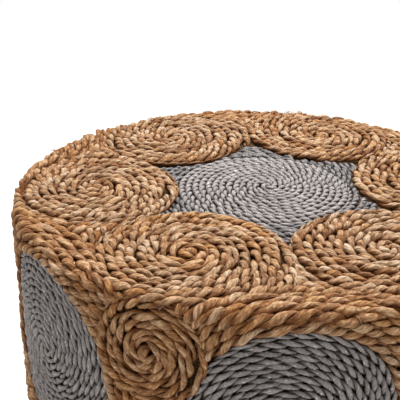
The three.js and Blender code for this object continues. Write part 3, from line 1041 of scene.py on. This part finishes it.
print("hairpins in the front corner:", len(hairpins(0)))

# %% [markdown]
# ## Laying the short ropes
# Every column gets its rings, its rim and its corner. Short ropes always leave small holes,
# and the real cover has none, because the maker sews a layer of thin rope first. So a
# second set of circles, half a row off, lies three millimetres deeper and reaches further
# under the coils. It has few sides, because only glimpses of it show.

# %% Rings, rim and corners
UNDER_LIFT = -3.2
CORE_LIFT = -1.8
UNDER_DETAIL = {"sides": 6, "per_lay": 7}
for row in ROWS:
    for column in range(COLUMNS):
        azimuth = FRONT + column * COLUMN_STEP
        over_top, on_side = around_medallion(row, column)
        strands = []
        for along, rise in on_side:
            strands += laid(wrap_side(along, rise, azimuth), SIDE_BROWN, per_lay=10)
        add_rope_piece(f"brown_ring_{row}_{column + 1}", strands, brown_fibre)
        if row == "lower":
            continue
        strands = []
        for along, rise in sum(around_medallion(row, column, 0.5, UNDER_TUCKED), []):
            route = wrap_side(along, rise, azimuth)
            strands += laid(route, SLACK_BROWN, lift=UNDER_LIFT, **UNDER_DETAIL)
        for along, rise in over_top:
            strands += laid(wrap_side(along, rise, azimuth), FAT_BROWN, per_lay=14)
        for x, y in hairpins(column):
            strands += laid(wrap_top(x, y, azimuth), BROWN)
        strands += laid(wrap_top(*corner_core(column), azimuth), BROWN, lift=CORE_LIFT)
        corner = add_rope_piece(
            f"brown_corner_{column + 1}", strands, brown_fibre,
            [f"rim_corner_{column + 1}"],
        )

print("pieces of rope round the last grey coil:", len(on_side))
print("faces in a corner:", len(corner.data.polygons))

# %% [markdown]
# ## Ropes that run right round
# The cover is made in an upper and a lower half, and a thin rope lies sunk in the line
# where they meet. Another closes the lower edge, where the cover is sewn to the foot ring.
# The rings of both halves could be made to touch instead, but on such stools this line runs
# straight round the drum, and without the lowest rope the edge is ragged from below.

# %% Thin ropes at half height and at the foot
THIN_PITCH = 6.5
THIN_SINK = -1.6
FOOT_ROPE_HEIGHT = 4.6
thin_rope = {**SIDE_BROWN, "pitch": THIN_PITCH, "lay": 18.0}
along = np.linspace(0, 2 * math.pi * drum_radius, 900)
for name, height in (("brown_middle_rope", drum_height / 2), ("brown_foot_rope", FOOT_ROPE_HEIGHT)):
    route = wrap_side(along, 0 * along + height - drum_height, FRONT)
    round_rope = add_rope_piece(
        name, laid(route, thin_rope, lift=THIN_SINK, sides=8), brown_fibre
    )
    print(name, "has", len(round_rope.data.polygons), "faces")

# %% [markdown]
# ## Tips of the star
# In each tip the grey cord carries on past the round coil, in short arcs that are pushed
# down between the two brown coils. A larger grey coil would fill the tips too, but it would
# run on under half of the brown rope. So the arcs are cut where the ovals begin, and each
# row lies a little lower than the one before it.

# %% Grey arcs in the tips
TIP_ROWS = 6
TIP_STEP_DOWN = 0.3
# How far an arc goes under a brown coil, in widths of cord, and how its ends are pushed in.
TIP_TUCKED = 0.1
TIP_END = {"end_length": 5, "depth": 1.6}
TIP_SHORTEST = 6
for column in range(COLUMNS):
    azimuth = FRONT + column * COLUMN_STEP
    strands = []
    for row in range(TIP_ROWS):
        radius = star_radius + GREY["pitch"] * (row + 0.5)
        angle = np.linspace(-COLUMN_STEP / 2, COLUMN_STEP / 2, 400)
        x, y = radius * np.cos(angle), radius * np.sin(angle)
        keep = ~inside_top_coil(x, y, -TIP_TUCKED * GREY["pitch"], column)
        lift = star_edge_lift - TIP_STEP_DOWN * row
        for a, b in runs(keep, TIP_SHORTEST):
            strands += laid(wrap_top(x[a:b], y[a:b], azimuth), SHADED_TIP_GREY, lift=lift, **TIP_END)
    add_rope_piece(
        f"grey_star_tip_{column + 1}", strands, grey_fibre, [f"star_tip_{column + 1}"]
    )
print("rows in a tip:", TIP_ROWS)

# %% [markdown]
# ## Stray fibres
# Hand-twisted leaf never lies quite flat: thin fibres lift off and catch the light, most at
# the rim, where the rope is bent over. A hair system could grow them, but the export needs
# meshes. So each is a three-sided hair that starts in the rope, arcs up and comes down or
# stays free, and all of them are one array.

# %% The shape of a stray fibre
HAIR_STEPS = 6
HAIR_SIDES = 3
# In millimetres, from the least to the most: length, height and half of the thickness. The
# bend is in radians: at 1.4 the end stays up, and at 3 it comes down again.
HAIR_LENGTH = (3.5, 8.5)
HAIR_HEIGHT = (0.6, 2.6)
HAIR_BEND = (1.4, 3.0)
HAIR_GIRTH = (0.16, 0.30)
# The spread of its curl to one side, and how deep in the rope it starts.
HAIR_CURL = 1.6
ROOT_DEPTH = 2.2
# The values that the material reads: the tone from the least to the most, and the mood.
HAIR_TONE = (0.4, 0.95)
HAIR_MOOD = 0.3


def hairs(places, normals, leading):
    """Bent hairs: place + length * t * along + rise * normal, with t from 0 to 1.

    The rise is height * sin(bend * t) - root depth * (1 - t) squared, so that a hair comes out
    of the rope. along is square to the normal and to the direction in leading.
    """
    count = len(places)
    along = np.cross(normals, leading)
    along /= np.linalg.norm(along, axis=1, keepdims=True)
    side = np.cross(normals, along)
    length = rng.uniform(*HAIR_LENGTH, count)[:, None, None]
    height = rng.uniform(*HAIR_HEIGHT, count)[:, None, None]
    bend = rng.uniform(*HAIR_BEND, count)[:, None, None]
    curl = rng.normal(0, HAIR_CURL, count)[:, None, None]
    t = np.linspace(0, 1, HAIR_STEPS)[None, :, None]
    rise = height * np.sin(bend * t) - ROOT_DEPTH * (1 - t) ** 2
    middle = (
        places[:, None] + length * t * along[:, None]
        + rise * normals[:, None] + curl * t * t * side[:, None]
    )
    around = np.linspace(0, 2 * math.pi, HAIR_SIDES, endpoint=False)
    girth = rng.uniform(*HAIR_GIRTH, count)[:, None, None, None] * (1.1 - t[..., None])
    ring = middle[:, :, None] + girth * (
        np.cos(around)[None, None, :, None] * side[:, None, None]
        + np.sin(around)[None, None, :, None] * normals[:, None, None]
    )
    tone = rng.uniform(*HAIR_TONE, count)
    return [
        {
            "ring": ring[i], "out": np.full((HAIR_STEPS, HAIR_SIDES), 0.5),
            "distance": np.linspace(0, 10, HAIR_STEPS), "tone": np.full(HAIR_STEPS, tone[i]),
            "mood": np.full(HAIR_STEPS, HAIR_MOOD), "girth": np.ones(HAIR_STEPS),
        }
        for i in range(count)
    ]


print("a stray fibre has", (HAIR_STEPS - 1) * HAIR_SIDES + 2, "faces")

# %% [markdown]
# ## Where the fibres stand
# They are scattered by chance over the brown rope, and some stand in tufts near the rim,
# where an end of rope comes out. Scattering them over the whole drum would put brown fibres
# on the grey coils, so those are left out by their distance from a coil's middle.

# %% Single fibres and tufts
HAIRS_ON_SIDE = 460
HAIRS_ON_TOP = 260
TUFTS = 26
HAIRS_IN_TUFT = 11
# The tufts stand in this band below and past the rim. On the side each hair is moved by a
# spread in millimetres, and every hair is turned a little, which opens a tuft like a brush.
TUFT_BAND = (-60, 12)
HAIR_SPREAD = 2.0
HAIR_TURN = 0.25
# Fibres start half of this below the outside of the ropes.
FIBRE_SKIN = 1.6
# Single ones on the side start this far below the rim and above the foot, in millimetres.
BELOW_RIM = 4
ABOVE_FOOT = 12
# On the top they keep to the ring of brown coils: the squares of its two radii, in shares.
TOP_RING = (0.3, 0.97)
angle = rng.uniform(0, 2 * math.pi, HAIRS_ON_SIDE + TUFTS)
rise = -rng.uniform(BELOW_RIM, drum_height - ABOVE_FOOT, HAIRS_ON_SIDE + TUFTS)
rise[-TUFTS:] = rng.uniform(*TUFT_BAND, TUFTS)
column_along = ((angle - FRONT + COLUMN_STEP / 2) % COLUMN_STEP - COLUMN_STEP / 2) * drum_radius
from_medallion = np.minimum(
    np.hypot(column_along, rise + drum_height - medallion_height),
    np.hypot(column_along, rise + medallion_height),
)
brown = from_medallion > medallion_radius
times = np.ones(len(angle), int)
times[-TUFTS:] = HAIRS_IN_TUFT
leading = np.repeat(rng.normal(size=(len(angle), 3)), times * brown, axis=0)
angle = np.repeat(angle, times * brown)
rise = np.repeat(rise, times * brown)
spread = rng.normal(0, HAIR_SPREAD, (2, len(angle)))
angle = angle + spread[1] / drum_radius
side_place, side_normal = wrap_side(0, rise + spread[0], angle, FIBRE_SKIN)
radius = drum_radius * np.sqrt(rng.uniform(*TOP_RING, HAIRS_ON_TOP))
angle = rng.uniform(0, 2 * math.pi, HAIRS_ON_TOP)
top_place, top_normal = wrap_top(radius, 0 * radius, angle, FIBRE_SKIN)
place = np.concatenate([side_place, top_place])
normal = np.concatenate([side_normal, top_normal])
leading = np.concatenate([leading, rng.normal(size=top_place.shape)])
leading += rng.normal(0, HAIR_TURN, leading.shape)
add_rope_piece("brown_stray_fibres", hairs(place, normal, leading), brown_fibre)
print("stray fibres:", len(place))

# %% [markdown]
# ## The cloth of the cap
# Under the ropes is a cap of jute canvas, a plain weave of thick and thin threads, which
# the ropes are stitched to. A picture of cloth would repeat and blur, so the weave is two
# waves across the cloth's own UV map, which is laid out in metres, with a noise over them
# for the uneven yarn.

# %% Jute canvas
# Jute canvas has a thread every 1.5 mm. It is drawn twice as coarse, so that it shows.
THREAD_MM = 3.0
# A thick or thin stretch of the yarn is about this long.
SLUB_MM = 12.0


def canvas_material(name, pale, dark):
    """Plain weave: two sets of threads as sine waves across the UV map, one over the other."""
    material, tree, shader, output = start_material(name)
    uv = node(tree, "ShaderNodeUVMap", {"uv_map": "cloth"}).outputs["UV"]
    scale = MM / THREAD_MM / WAVES_PER_METRE
    warp, weft = (
        node(
            tree, "ShaderNodeTexWave", {"bands_direction": direction},
            Vector=uv, Scale=scale, Distortion=0.6,
        ).outputs["Fac"]
        for direction in "XY"
    )
    weave = node(tree, "ShaderNodeMath", {"operation": "MAXIMUM"}, i0=warp, i1=weft).outputs[0]
    slub = node(
        tree, "ShaderNodeTexNoise", Vector=uv, Scale=MM / SLUB_MM, Detail=3.0
    ).outputs["Fac"]
    both = node(tree, "ShaderNodeMath", {"operation": "MULTIPLY"}, i0=weave, i1=slub).outputs[0]
    # Painted shade: between the threads, and more where the yarn runs thin, the cloth is painted
    # dark, as the gaps of the weave are.
    colour = node(
        tree, "ShaderNodeValToRGB", stops=[(0.15, dark), (0.6, pale)], i0=both
    ).outputs["Color"]
    bump = node(tree, "ShaderNodeBump", Height=weave, Distance=0.4 / MM, Strength=0.8).outputs[0]
    tree.links.new(colour, shader.inputs["Base Color"])
    tree.links.new(bump, shader.inputs["Normal"])
    shader.inputs["Roughness"].default_value = 0.9
    shader.inputs["Specular IOR Level"].default_value = 0.2
    return material


# Raw jute is a dull brown cloth with thick and thin threads.
jute_canvas = canvas_material("jute_canvas_plain_weave", "#7A5E3E", "#33220F")
print("threads are drawn", THREAD_MM, "mm apart")

# %% [markdown]
# ## A piece of the cap
# The cap holds its shape because it is stretched over the frame, so it needs no cloth
# simulation: its top is a disc and its side a straight strip. Each is a grid of places, and
# a Solidify modifier gives it the wall of real cloth. A helper makes any such grid into a
# mesh and joins the places that fall together, so that tubes and discs are closed.

# %% Cloth from a grid of places
CLOTH = 1.2
MERGE_MM = 0.01


def cloth_piece(name, place, uv, pole=False):
    """A grid of places with a UV map in metres; places that fall together are merged.

    A pole closes the last row with one many-sided face.
    """
    rows, columns = place.shape[:2]
    index = np.arange(rows * columns).reshape(rows, columns)
    near, following = index[:, :-1], index[:, 1:]
    quads = np.stack([near[:-1], following[:-1], following[1:], near[1:]], -1).reshape(-1, 4)
    faces = quads.tolist() + ([near[-1].tolist()] if pole else [])
    mesh = bpy.data.meshes.new(name)
    mesh.from_pydata((place.reshape(-1, 3) / MM).tolist(), [], faces)
    corners = np.concatenate([np.asarray(face) for face in faces])
    layer = mesh.uv_layers.new(name="cloth")
    layer.data.foreach_set("uv", (uv.reshape(-1, 2)[corners] / MM).ravel())
    mesh.polygons.foreach_set("use_smooth", np.ones(len(faces), bool))
    shape = bmesh.new()
    shape.from_mesh(mesh)
    bmesh.ops.remove_doubles(shape, verts=shape.verts, dist=MERGE_MM / MM)
    shape.to_mesh(mesh)
    shape.free()
    return add_piece(name, mesh, jute_canvas)


CLOTH_COLUMNS = 180
round_angle = np.linspace(0, 2 * math.pi, CLOTH_COLUMNS + 1)


def turned_cloth(name, radius, height, length):
    """A profile turned round the axis: radius times cosine and sine of the angle, and height.

    length is the distance along the cloth at each point of the profile.
    """
    radius, height, length = (np.asarray(v, float)[:, None] for v in (radius, height, length))
    place = np.stack([
        radius * np.cos(round_angle), radius * np.sin(round_angle), height + 0 * round_angle,
    ], -1)
    uv = np.stack([lining_radius * round_angle + 0 * radius, length + 0 * round_angle], -1)
    return cloth_piece(name, place, uv)


def thicken(piece, thickness):
    """A wall of cloth thickness on the inner side of the surface."""
    wall = piece.modifiers.new("cloth_wall", "SOLIDIFY")
    wall.thickness = thickness / MM
    wall.offset = -1.0
    return piece


print("the cap is", round(2 * lining_radius), "mm across and", round(lining_top), "mm high")

# %% [markdown]
# ## Top, side, seam and hem
# The real cap is sewn from a round top and a side strip, with a corded seam where they meet
# and its lower edge turned up twice. It shows only from below and as darkness in the gaps,
# but there it is what one sees first.

# %% The four pieces of the cap
side_heights = np.linspace(lining_bottom, lining_top - CLOTH, 12)
canvas_side = thicken(
    turned_cloth("canvas_side", 0 * side_heights + lining_radius, side_heights, side_heights), CLOTH
)
# The top ends a tenth of a millimetre inside the side, so that they share no place.
rings = np.array([1.0, 0.8, 0.6, 0.4, 0.2, 0.04]) * (lining_radius - 0.1)
place = np.stack([
    rings[:, None] * np.cos(round_angle), rings[:, None] * np.sin(round_angle),
    np.full((len(rings), len(round_angle)), lining_top),
], -1)
canvas_top = thicken(cloth_piece("canvas_top", place, place[..., :2], pole=True), CLOTH)
SEAM_RADIUS = 0.8
SEAM_DROP = 0.9
turn = np.linspace(0, 2 * math.pi, 9)
canvas_seam = turned_cloth(
    "canvas_seam", lining_radius + SEAM_RADIUS * np.cos(turn),
    lining_top - SEAM_DROP + SEAM_RADIUS * np.sin(turn), SEAM_RADIUS * turn,
)
HEM_WIDTH = 22.0
HEM_THICKNESS = 0.8
hem_low, hem_high = lining_bottom, lining_bottom + HEM_WIDTH
# The back of the hem lies inside the side's cloth, so that no two faces share a place.
hem_in, hem_out = lining_radius - CLOTH / 2, lining_radius + HEM_THICKNESS
canvas_hem = turned_cloth(
    "canvas_hem",
    [hem_in, hem_out, hem_out, hem_out, hem_in, hem_in],
    [hem_low, hem_low, (hem_low + hem_high) / 2, hem_high, hem_high, hem_low],
    [0, 1, HEM_WIDTH / 2, HEM_WIDTH, HEM_WIDTH + 1, 2 * HEM_WIDTH + 1],
)
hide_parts("jute_lining")
print("canvas side", round(2 * math.pi * lining_radius), "x", round(np.ptp(side_heights)), "mm")

# %% [markdown]
# ## Plywood
# The seat board and the foot ring are birch plywood: a pale face with long grain, and an
# edge that shows thin plies, light where the grain runs along the edge and dark where it is
# cut across. Their solids have the right shape already and stay, and only get this finish.
# One material does both, because the direction in which a face looks says whether it is
# face or edge.

# %% Birch plywood
PLY_MM = 1.5
GRAIN_MM = 3.0
GRAIN_STRETCH = 14


def plywood_material(name, pale, dark, edge_pale, edge_dark):
    """Stretched noise for the face, and a wave as high as two plies where the face stands up."""
    material, tree, shader, output = start_material(name)
    place = node(tree, "ShaderNodeTexCoord").outputs["Object"]
    normal = node(tree, "ShaderNodeNewGeometry").outputs["Normal"]
    upright = node(tree, "ShaderNodeSeparateXYZ", i0=normal).outputs[2]
    flatness = node(tree, "ShaderNodeMath", {"operation": "ABSOLUTE"}, i0=upright).outputs[0]
    scale = MM / GRAIN_MM
    grain_place = node(
        tree, "ShaderNodeMapping", i0=place, i3=(scale / GRAIN_STRETCH, scale, scale)
    ).outputs[0]
    grain = node(
        tree, "ShaderNodeTexNoise", Vector=grain_place, Scale=1.0, Detail=5.0, Distortion=0.4
    ).outputs["Fac"]
    face = node(
        tree, "ShaderNodeValToRGB", stops=[(0.35, dark), (0.62, pale)], i0=grain
    ).outputs["Color"]
    plies = node(
        tree, "ShaderNodeTexWave", {"bands_direction": "Z"}, Vector=place,
        Scale=MM / (2 * PLY_MM) / WAVES_PER_METRE, Distortion=0.2,
    ).outputs["Fac"]
    edge = node(
        tree, "ShaderNodeValToRGB", stops=[(0.4, edge_dark), (0.6, edge_pale)], i0=plies
    ).outputs["Color"]
    # A face that leans by more than about half a right angle counts as an edge.
    side = node(
        tree, "ShaderNodeMapRange", i0=flatness, i1=0.4, i2=0.7, i3=1.0, i4=0.0
    ).outputs[0]
    colour = node(tree, "ShaderNodeMix", {"data_type": "RGBA"}, i0=side, i6=face, i7=edge)
    bump = node(tree, "ShaderNodeBump", Height=grain, Distance=0.2 / MM, Strength=0.6).outputs[0]
    tree.links.new(colour.outputs[2], shader.inputs["Base Color"])
    tree.links.new(bump, shader.inputs["Normal"])
    shader.inputs["Roughness"].default_value = 0.55
    return material


def finish_solid(name, material):
    """Gives a solid that still shows its finish."""
    materials = nodes[name].data.materials
    materials.clear()
    materials.append(material)


# Sanded birch is pale and even; its edge shows the plies as dark and light lines.
birch_plywood = plywood_material("birch_plywood_sanded", "#D9BE93", "#BE9C6C", "#D6B98B", "#8A6238")
for name in ("seat_board", "base_ring"):
    finish_solid(name, birch_plywood)
print("plies", PLY_MM, "mm thick, grain", GRAIN_MM, "mm wide")

# %% [markdown]
# ## Cane
# The posts and the hoop are peeled cane: yellow, with fine lines along the stem, a soft
# gloss, and a darker ring at each joint where a leaf grew. The lines could be a wood grain,
# but cane has no rings of growth, so a noise is stretched until it makes long thin lines.
# A value on the points says where a joint is. The hoop is a thin switch from between two
# joints and has none.

# %% Peeled cane
CANE_LINE_MM = 1.4
CANE_LINE_LENGTH = 60.0


def cane_material(name, pale, dark, joint):
    """Noise stretched along the stem, and a darker colour where the joint value is high."""
    material, tree, shader, output = start_material(name)
    place = node(tree, "ShaderNodeTexCoord").outputs["Object"]
    across = MM / CANE_LINE_MM
    lines = node(
        tree, "ShaderNodeMapping", i0=place, i3=(across, across, MM / CANE_LINE_LENGTH)
    ).outputs[0]
    fibre = node(tree, "ShaderNodeTexNoise", Vector=lines, Scale=1.0, Detail=4.0).outputs["Fac"]
    skin = node(
        tree, "ShaderNodeValToRGB", stops=[(0.36, dark), (0.6, pale)], i0=fibre
    ).outputs["Color"]
    at_joint = node(tree, "ShaderNodeAttribute", {"attribute_name": "joint"}).outputs["Fac"]
    colour = node(
        tree, "ShaderNodeMix", {"data_type": "RGBA"}, i0=at_joint, i6=skin, i7=linear(joint)
    ).outputs[2]
    bump = node(tree, "ShaderNodeBump", Height=fibre, Distance=0.3 / MM, Strength=0.7).outputs[0]
    tree.links.new(colour, shader.inputs["Base Color"])
    tree.links.new(bump, shader.inputs["Normal"])
    shader.inputs["Roughness"].default_value = 0.42
    return material


# Peeled cane keeps a smooth skin, so it has a soft gloss along its length.
peeled_cane = cane_material("peeled_cane_steamed", "#D3AE6E", "#A87F45", "#6E4A22")
finish_solid("middle_hoop", peeled_cane)
print("lines", CANE_LINE_MM, "mm wide and", CANE_LINE_LENGTH, "mm long")

# %% [markdown]
# ## The six posts
# A cane stem swells at each joint and has a shallow groove above it. The posts' solids are
# plain round rods, which is near, but from below these joints are what makes cane look like
# cane. So each post is a turned profile in the place of its rod, closed at both ends, and
# no thicker than the rod even at its joints.

# %% Posts of cane
POST_ROWS = 150
POST_SIDES = 28
JOINT_SPACING = 104.0
JOINT_HALF_HEIGHT = 3.2
JOINT_SWELL = 0.9
GROOVE_DEPTH = 0.5
# The height of the lowest joint, which grows from post to post, so that no two are alike.
LOWEST_JOINT = 30.0
JOINT_SHIFT = 13.0


def cane_post(name, low, high, first_joint):
    """A rod with radius = thin + swell * bell at each joint - groove * bell just above it.

    A bell is e to minus the square of the height from its middle over its half height.
    """
    centre_x, centre_y = (low[0] + high[0]) / 2, (low[1] + high[1]) / 2
    thin = (high[0] - low[0]) / 2 - JOINT_SWELL
    height = np.linspace(low[2], high[2], POST_ROWS)
    joints = np.arange(low[2] + first_joint, high[2] - JOINT_HALF_HEIGHT, JOINT_SPACING)
    steps = (height[:, None] - joints) / JOINT_HALF_HEIGHT
    swell = np.exp(-steps**2).max(axis=1)
    groove = np.exp(-(steps - 2) ** 2).max(axis=1)
    radius = thin + JOINT_SWELL * swell - GROOVE_DEPTH * groove
    angle = np.linspace(0, 2 * math.pi, POST_SIDES, endpoint=False)
    place = np.stack([
        centre_x + radius[:, None] * np.cos(angle), centre_y + radius[:, None] * np.sin(angle),
        height[:, None] + 0 * angle,
    ], -1)
    index = np.arange(POST_ROWS * POST_SIDES).reshape(POST_ROWS, POST_SIDES)
    following = np.roll(index, -1, axis=1)
    quads = np.stack([index[:-1], following[:-1], following[1:], index[1:]], -1).reshape(-1, 4)
    mesh = bpy.data.meshes.new(name)
    ends = [index[0, ::-1].tolist(), index[-1].tolist()]
    mesh.from_pydata((place.reshape(-1, 3) / MM).tolist(), [], quads.tolist() + ends)
    smooth = np.arange(len(mesh.polygons)) < len(quads)
    mesh.polygons.foreach_set("use_smooth", smooth)
    layer = mesh.attributes.new("joint", "FLOAT", "POINT")
    layer.data.foreach_set("value", np.repeat(groove, POST_SIDES).astype(np.float32))
    return add_piece(name, mesh, peeled_cane)


for post in range(1, COLUMNS + 1):
    low, high = (np.array(v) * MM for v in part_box(f"post_{post}"))
    piece = cane_post(f"cane_post_{post}", low, high, LOWEST_JOINT + JOINT_SHIFT * post)
    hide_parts(f"post_{post}")
print("solids that still show:", sorted(n for n, solid in nodes.items() if not solid.hide_render))

# %% [markdown]
# ## The white room
# The photograph has soft light from all sides and a pure white background. Enough light to
# make a backdrop white would wash out the stool. So the world gives an even, weaker light,
# and only what the camera, a mirror or glass sees of it is white.

# %% World
WORLD_LIGHT = 0.55


def white_world():
    """An even light, mixed with plain white by what kind of ray looks at the world."""
    world = bpy.data.worlds.new("white_room")
    bpy.context.scene.world = world
    world.use_nodes = True
    tree = world.node_tree
    tree.nodes.clear()
    path = node(tree, "ShaderNodeLightPath")
    direct = node(
        tree, "ShaderNodeMath", {"operation": "MAXIMUM"},
        i0=path.outputs["Is Camera Ray"], i1=path.outputs["Is Glossy Ray"],
    ).outputs[0]
    direct = node(
        tree, "ShaderNodeMath", {"operation": "MAXIMUM"},
        i0=direct, i1=path.outputs["Is Transmission Ray"],
    ).outputs[0]
    light = node(tree, "ShaderNodeBackground", Strength=WORLD_LIGHT)
    white = node(tree, "ShaderNodeBackground", Color=(1, 1, 1, 1), Strength=1.0)
    light.inputs["Color"].default_value = linear("#FFFCF8")
    both = node(
        tree, "ShaderNodeMixShader", i0=direct, i1=light.outputs[0], i2=white.outputs[0]
    )
    node(tree, "ShaderNodeOutputWorld", Surface=both.outputs[0])


white_world()
print("world light", WORLD_LIGHT)

# %% [markdown]
# ## The soft box
# In the photograph the top is twice as bright as the side, and every bead has a soft dark
# side, so a wide light hangs above. A small lamp would give hard shadows between the ropes,
# so it is a square area light, wider than the stool.

# %% Soft box over the stool
def soft_box(name, size, power, place, target):
    """A square area light at a place, turned to face a target."""
    data = bpy.data.lights.new(name, "AREA")
    data.shape = "SQUARE"
    data.size = size
    data.energy = power
    made = bpy.data.objects.new(name, data)
    bpy.context.collection.objects.link(made)
    made.location = place
    made.rotation_mode = "QUATERNION"
    made.rotation_quaternion = (Vector(target) - Vector(place)).to_track_quat("-Z", "Y")
    return made


key_light = soft_box(
    "top_soft_box", size=1.3, power=33, place=(0.2, 0.35, 1.85), target=(0, 0, 0.3),
)
print("the soft box is", round(key_light.data.size, 2), "m wide,", key_light.data.energy, "W")

# %% [markdown]
# ## The floor
# The stool stands on a white studio floor that shows only as a soft shadow. A white sheet
# that curves up behind would be seen at its edge from other sides, so the floor is a plain
# round disc that is brighter to the camera than the light makes it, and keeps its shadow.

# %% Floor
FLOOR_RADIUS = 1.5
FLOOR_STEPS = 96
# The floor lies half a millimetre low, so that it shares no face with the foot ring.
FLOOR_DROP = 0.5
floor_angle = np.linspace(0, 2 * math.pi, FLOOR_STEPS, endpoint=False)
floor_places = np.stack([
    FLOOR_RADIUS * np.cos(floor_angle), FLOOR_RADIUS * np.sin(floor_angle),
    np.full(FLOOR_STEPS, -FLOOR_DROP / MM),
], -1)
floor_mesh = bpy.data.meshes.new("pale_floor")
floor_mesh.from_pydata(floor_places.tolist(), [], [list(range(FLOOR_STEPS))])
floor = bpy.data.objects.new("pale_floor", floor_mesh)
bpy.context.collection.objects.link(floor)
# A painted studio floor: matt, so it has a shadow and no mirror image. Over-exposure makes
# it white in the photograph, so it glows a little for the camera, and from below it is clear.
FLOOR_GLOW = 0.42
floor_paint, tree, shader, output = start_material("matt_white_paint_rolled")
shader.inputs["Base Color"].default_value = linear("#F2F1F0")
shader.inputs["Roughness"].default_value = 0.85
seen = node(tree, "ShaderNodeLightPath").outputs["Is Camera Ray"]
shader.inputs["Emission Color"].default_value = (1, 1, 1, 1)
glow = node(tree, "ShaderNodeMath", {"operation": "MULTIPLY"}, i0=seen, i1=FLOOR_GLOW)
tree.links.new(glow.outputs[0], shader.inputs["Emission Strength"])
clear = node(tree, "ShaderNodeBsdfTransparent")
below = node(tree, "ShaderNodeNewGeometry").outputs["Backfacing"]
sides = node(tree, "ShaderNodeMixShader", i0=below, i1=shader.outputs[0], i2=clear.outputs[0])
tree.links.new(sides.outputs[0], output.inputs["Surface"])
floor_mesh.materials.append(floor_paint)
floor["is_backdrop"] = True

bpy.context.scene.view_settings.view_transform = "Standard"
print("the floor glows by", FLOOR_GLOW, "and is", 2 * FLOOR_RADIUS, "m across")

# %% [markdown]
# ## Sizes
# The finished ropes may make the stool a few millimetres bigger than its solids. The box of
# the solids and the box of the finished pieces could be compared by eye, but a single stray
# fibre can reach further than the ropes, so both are printed, the first after the import.

# %% Sizes before and after
low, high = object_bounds()
print("dressed box", [round(v, 4) for v in (*low, *high)])
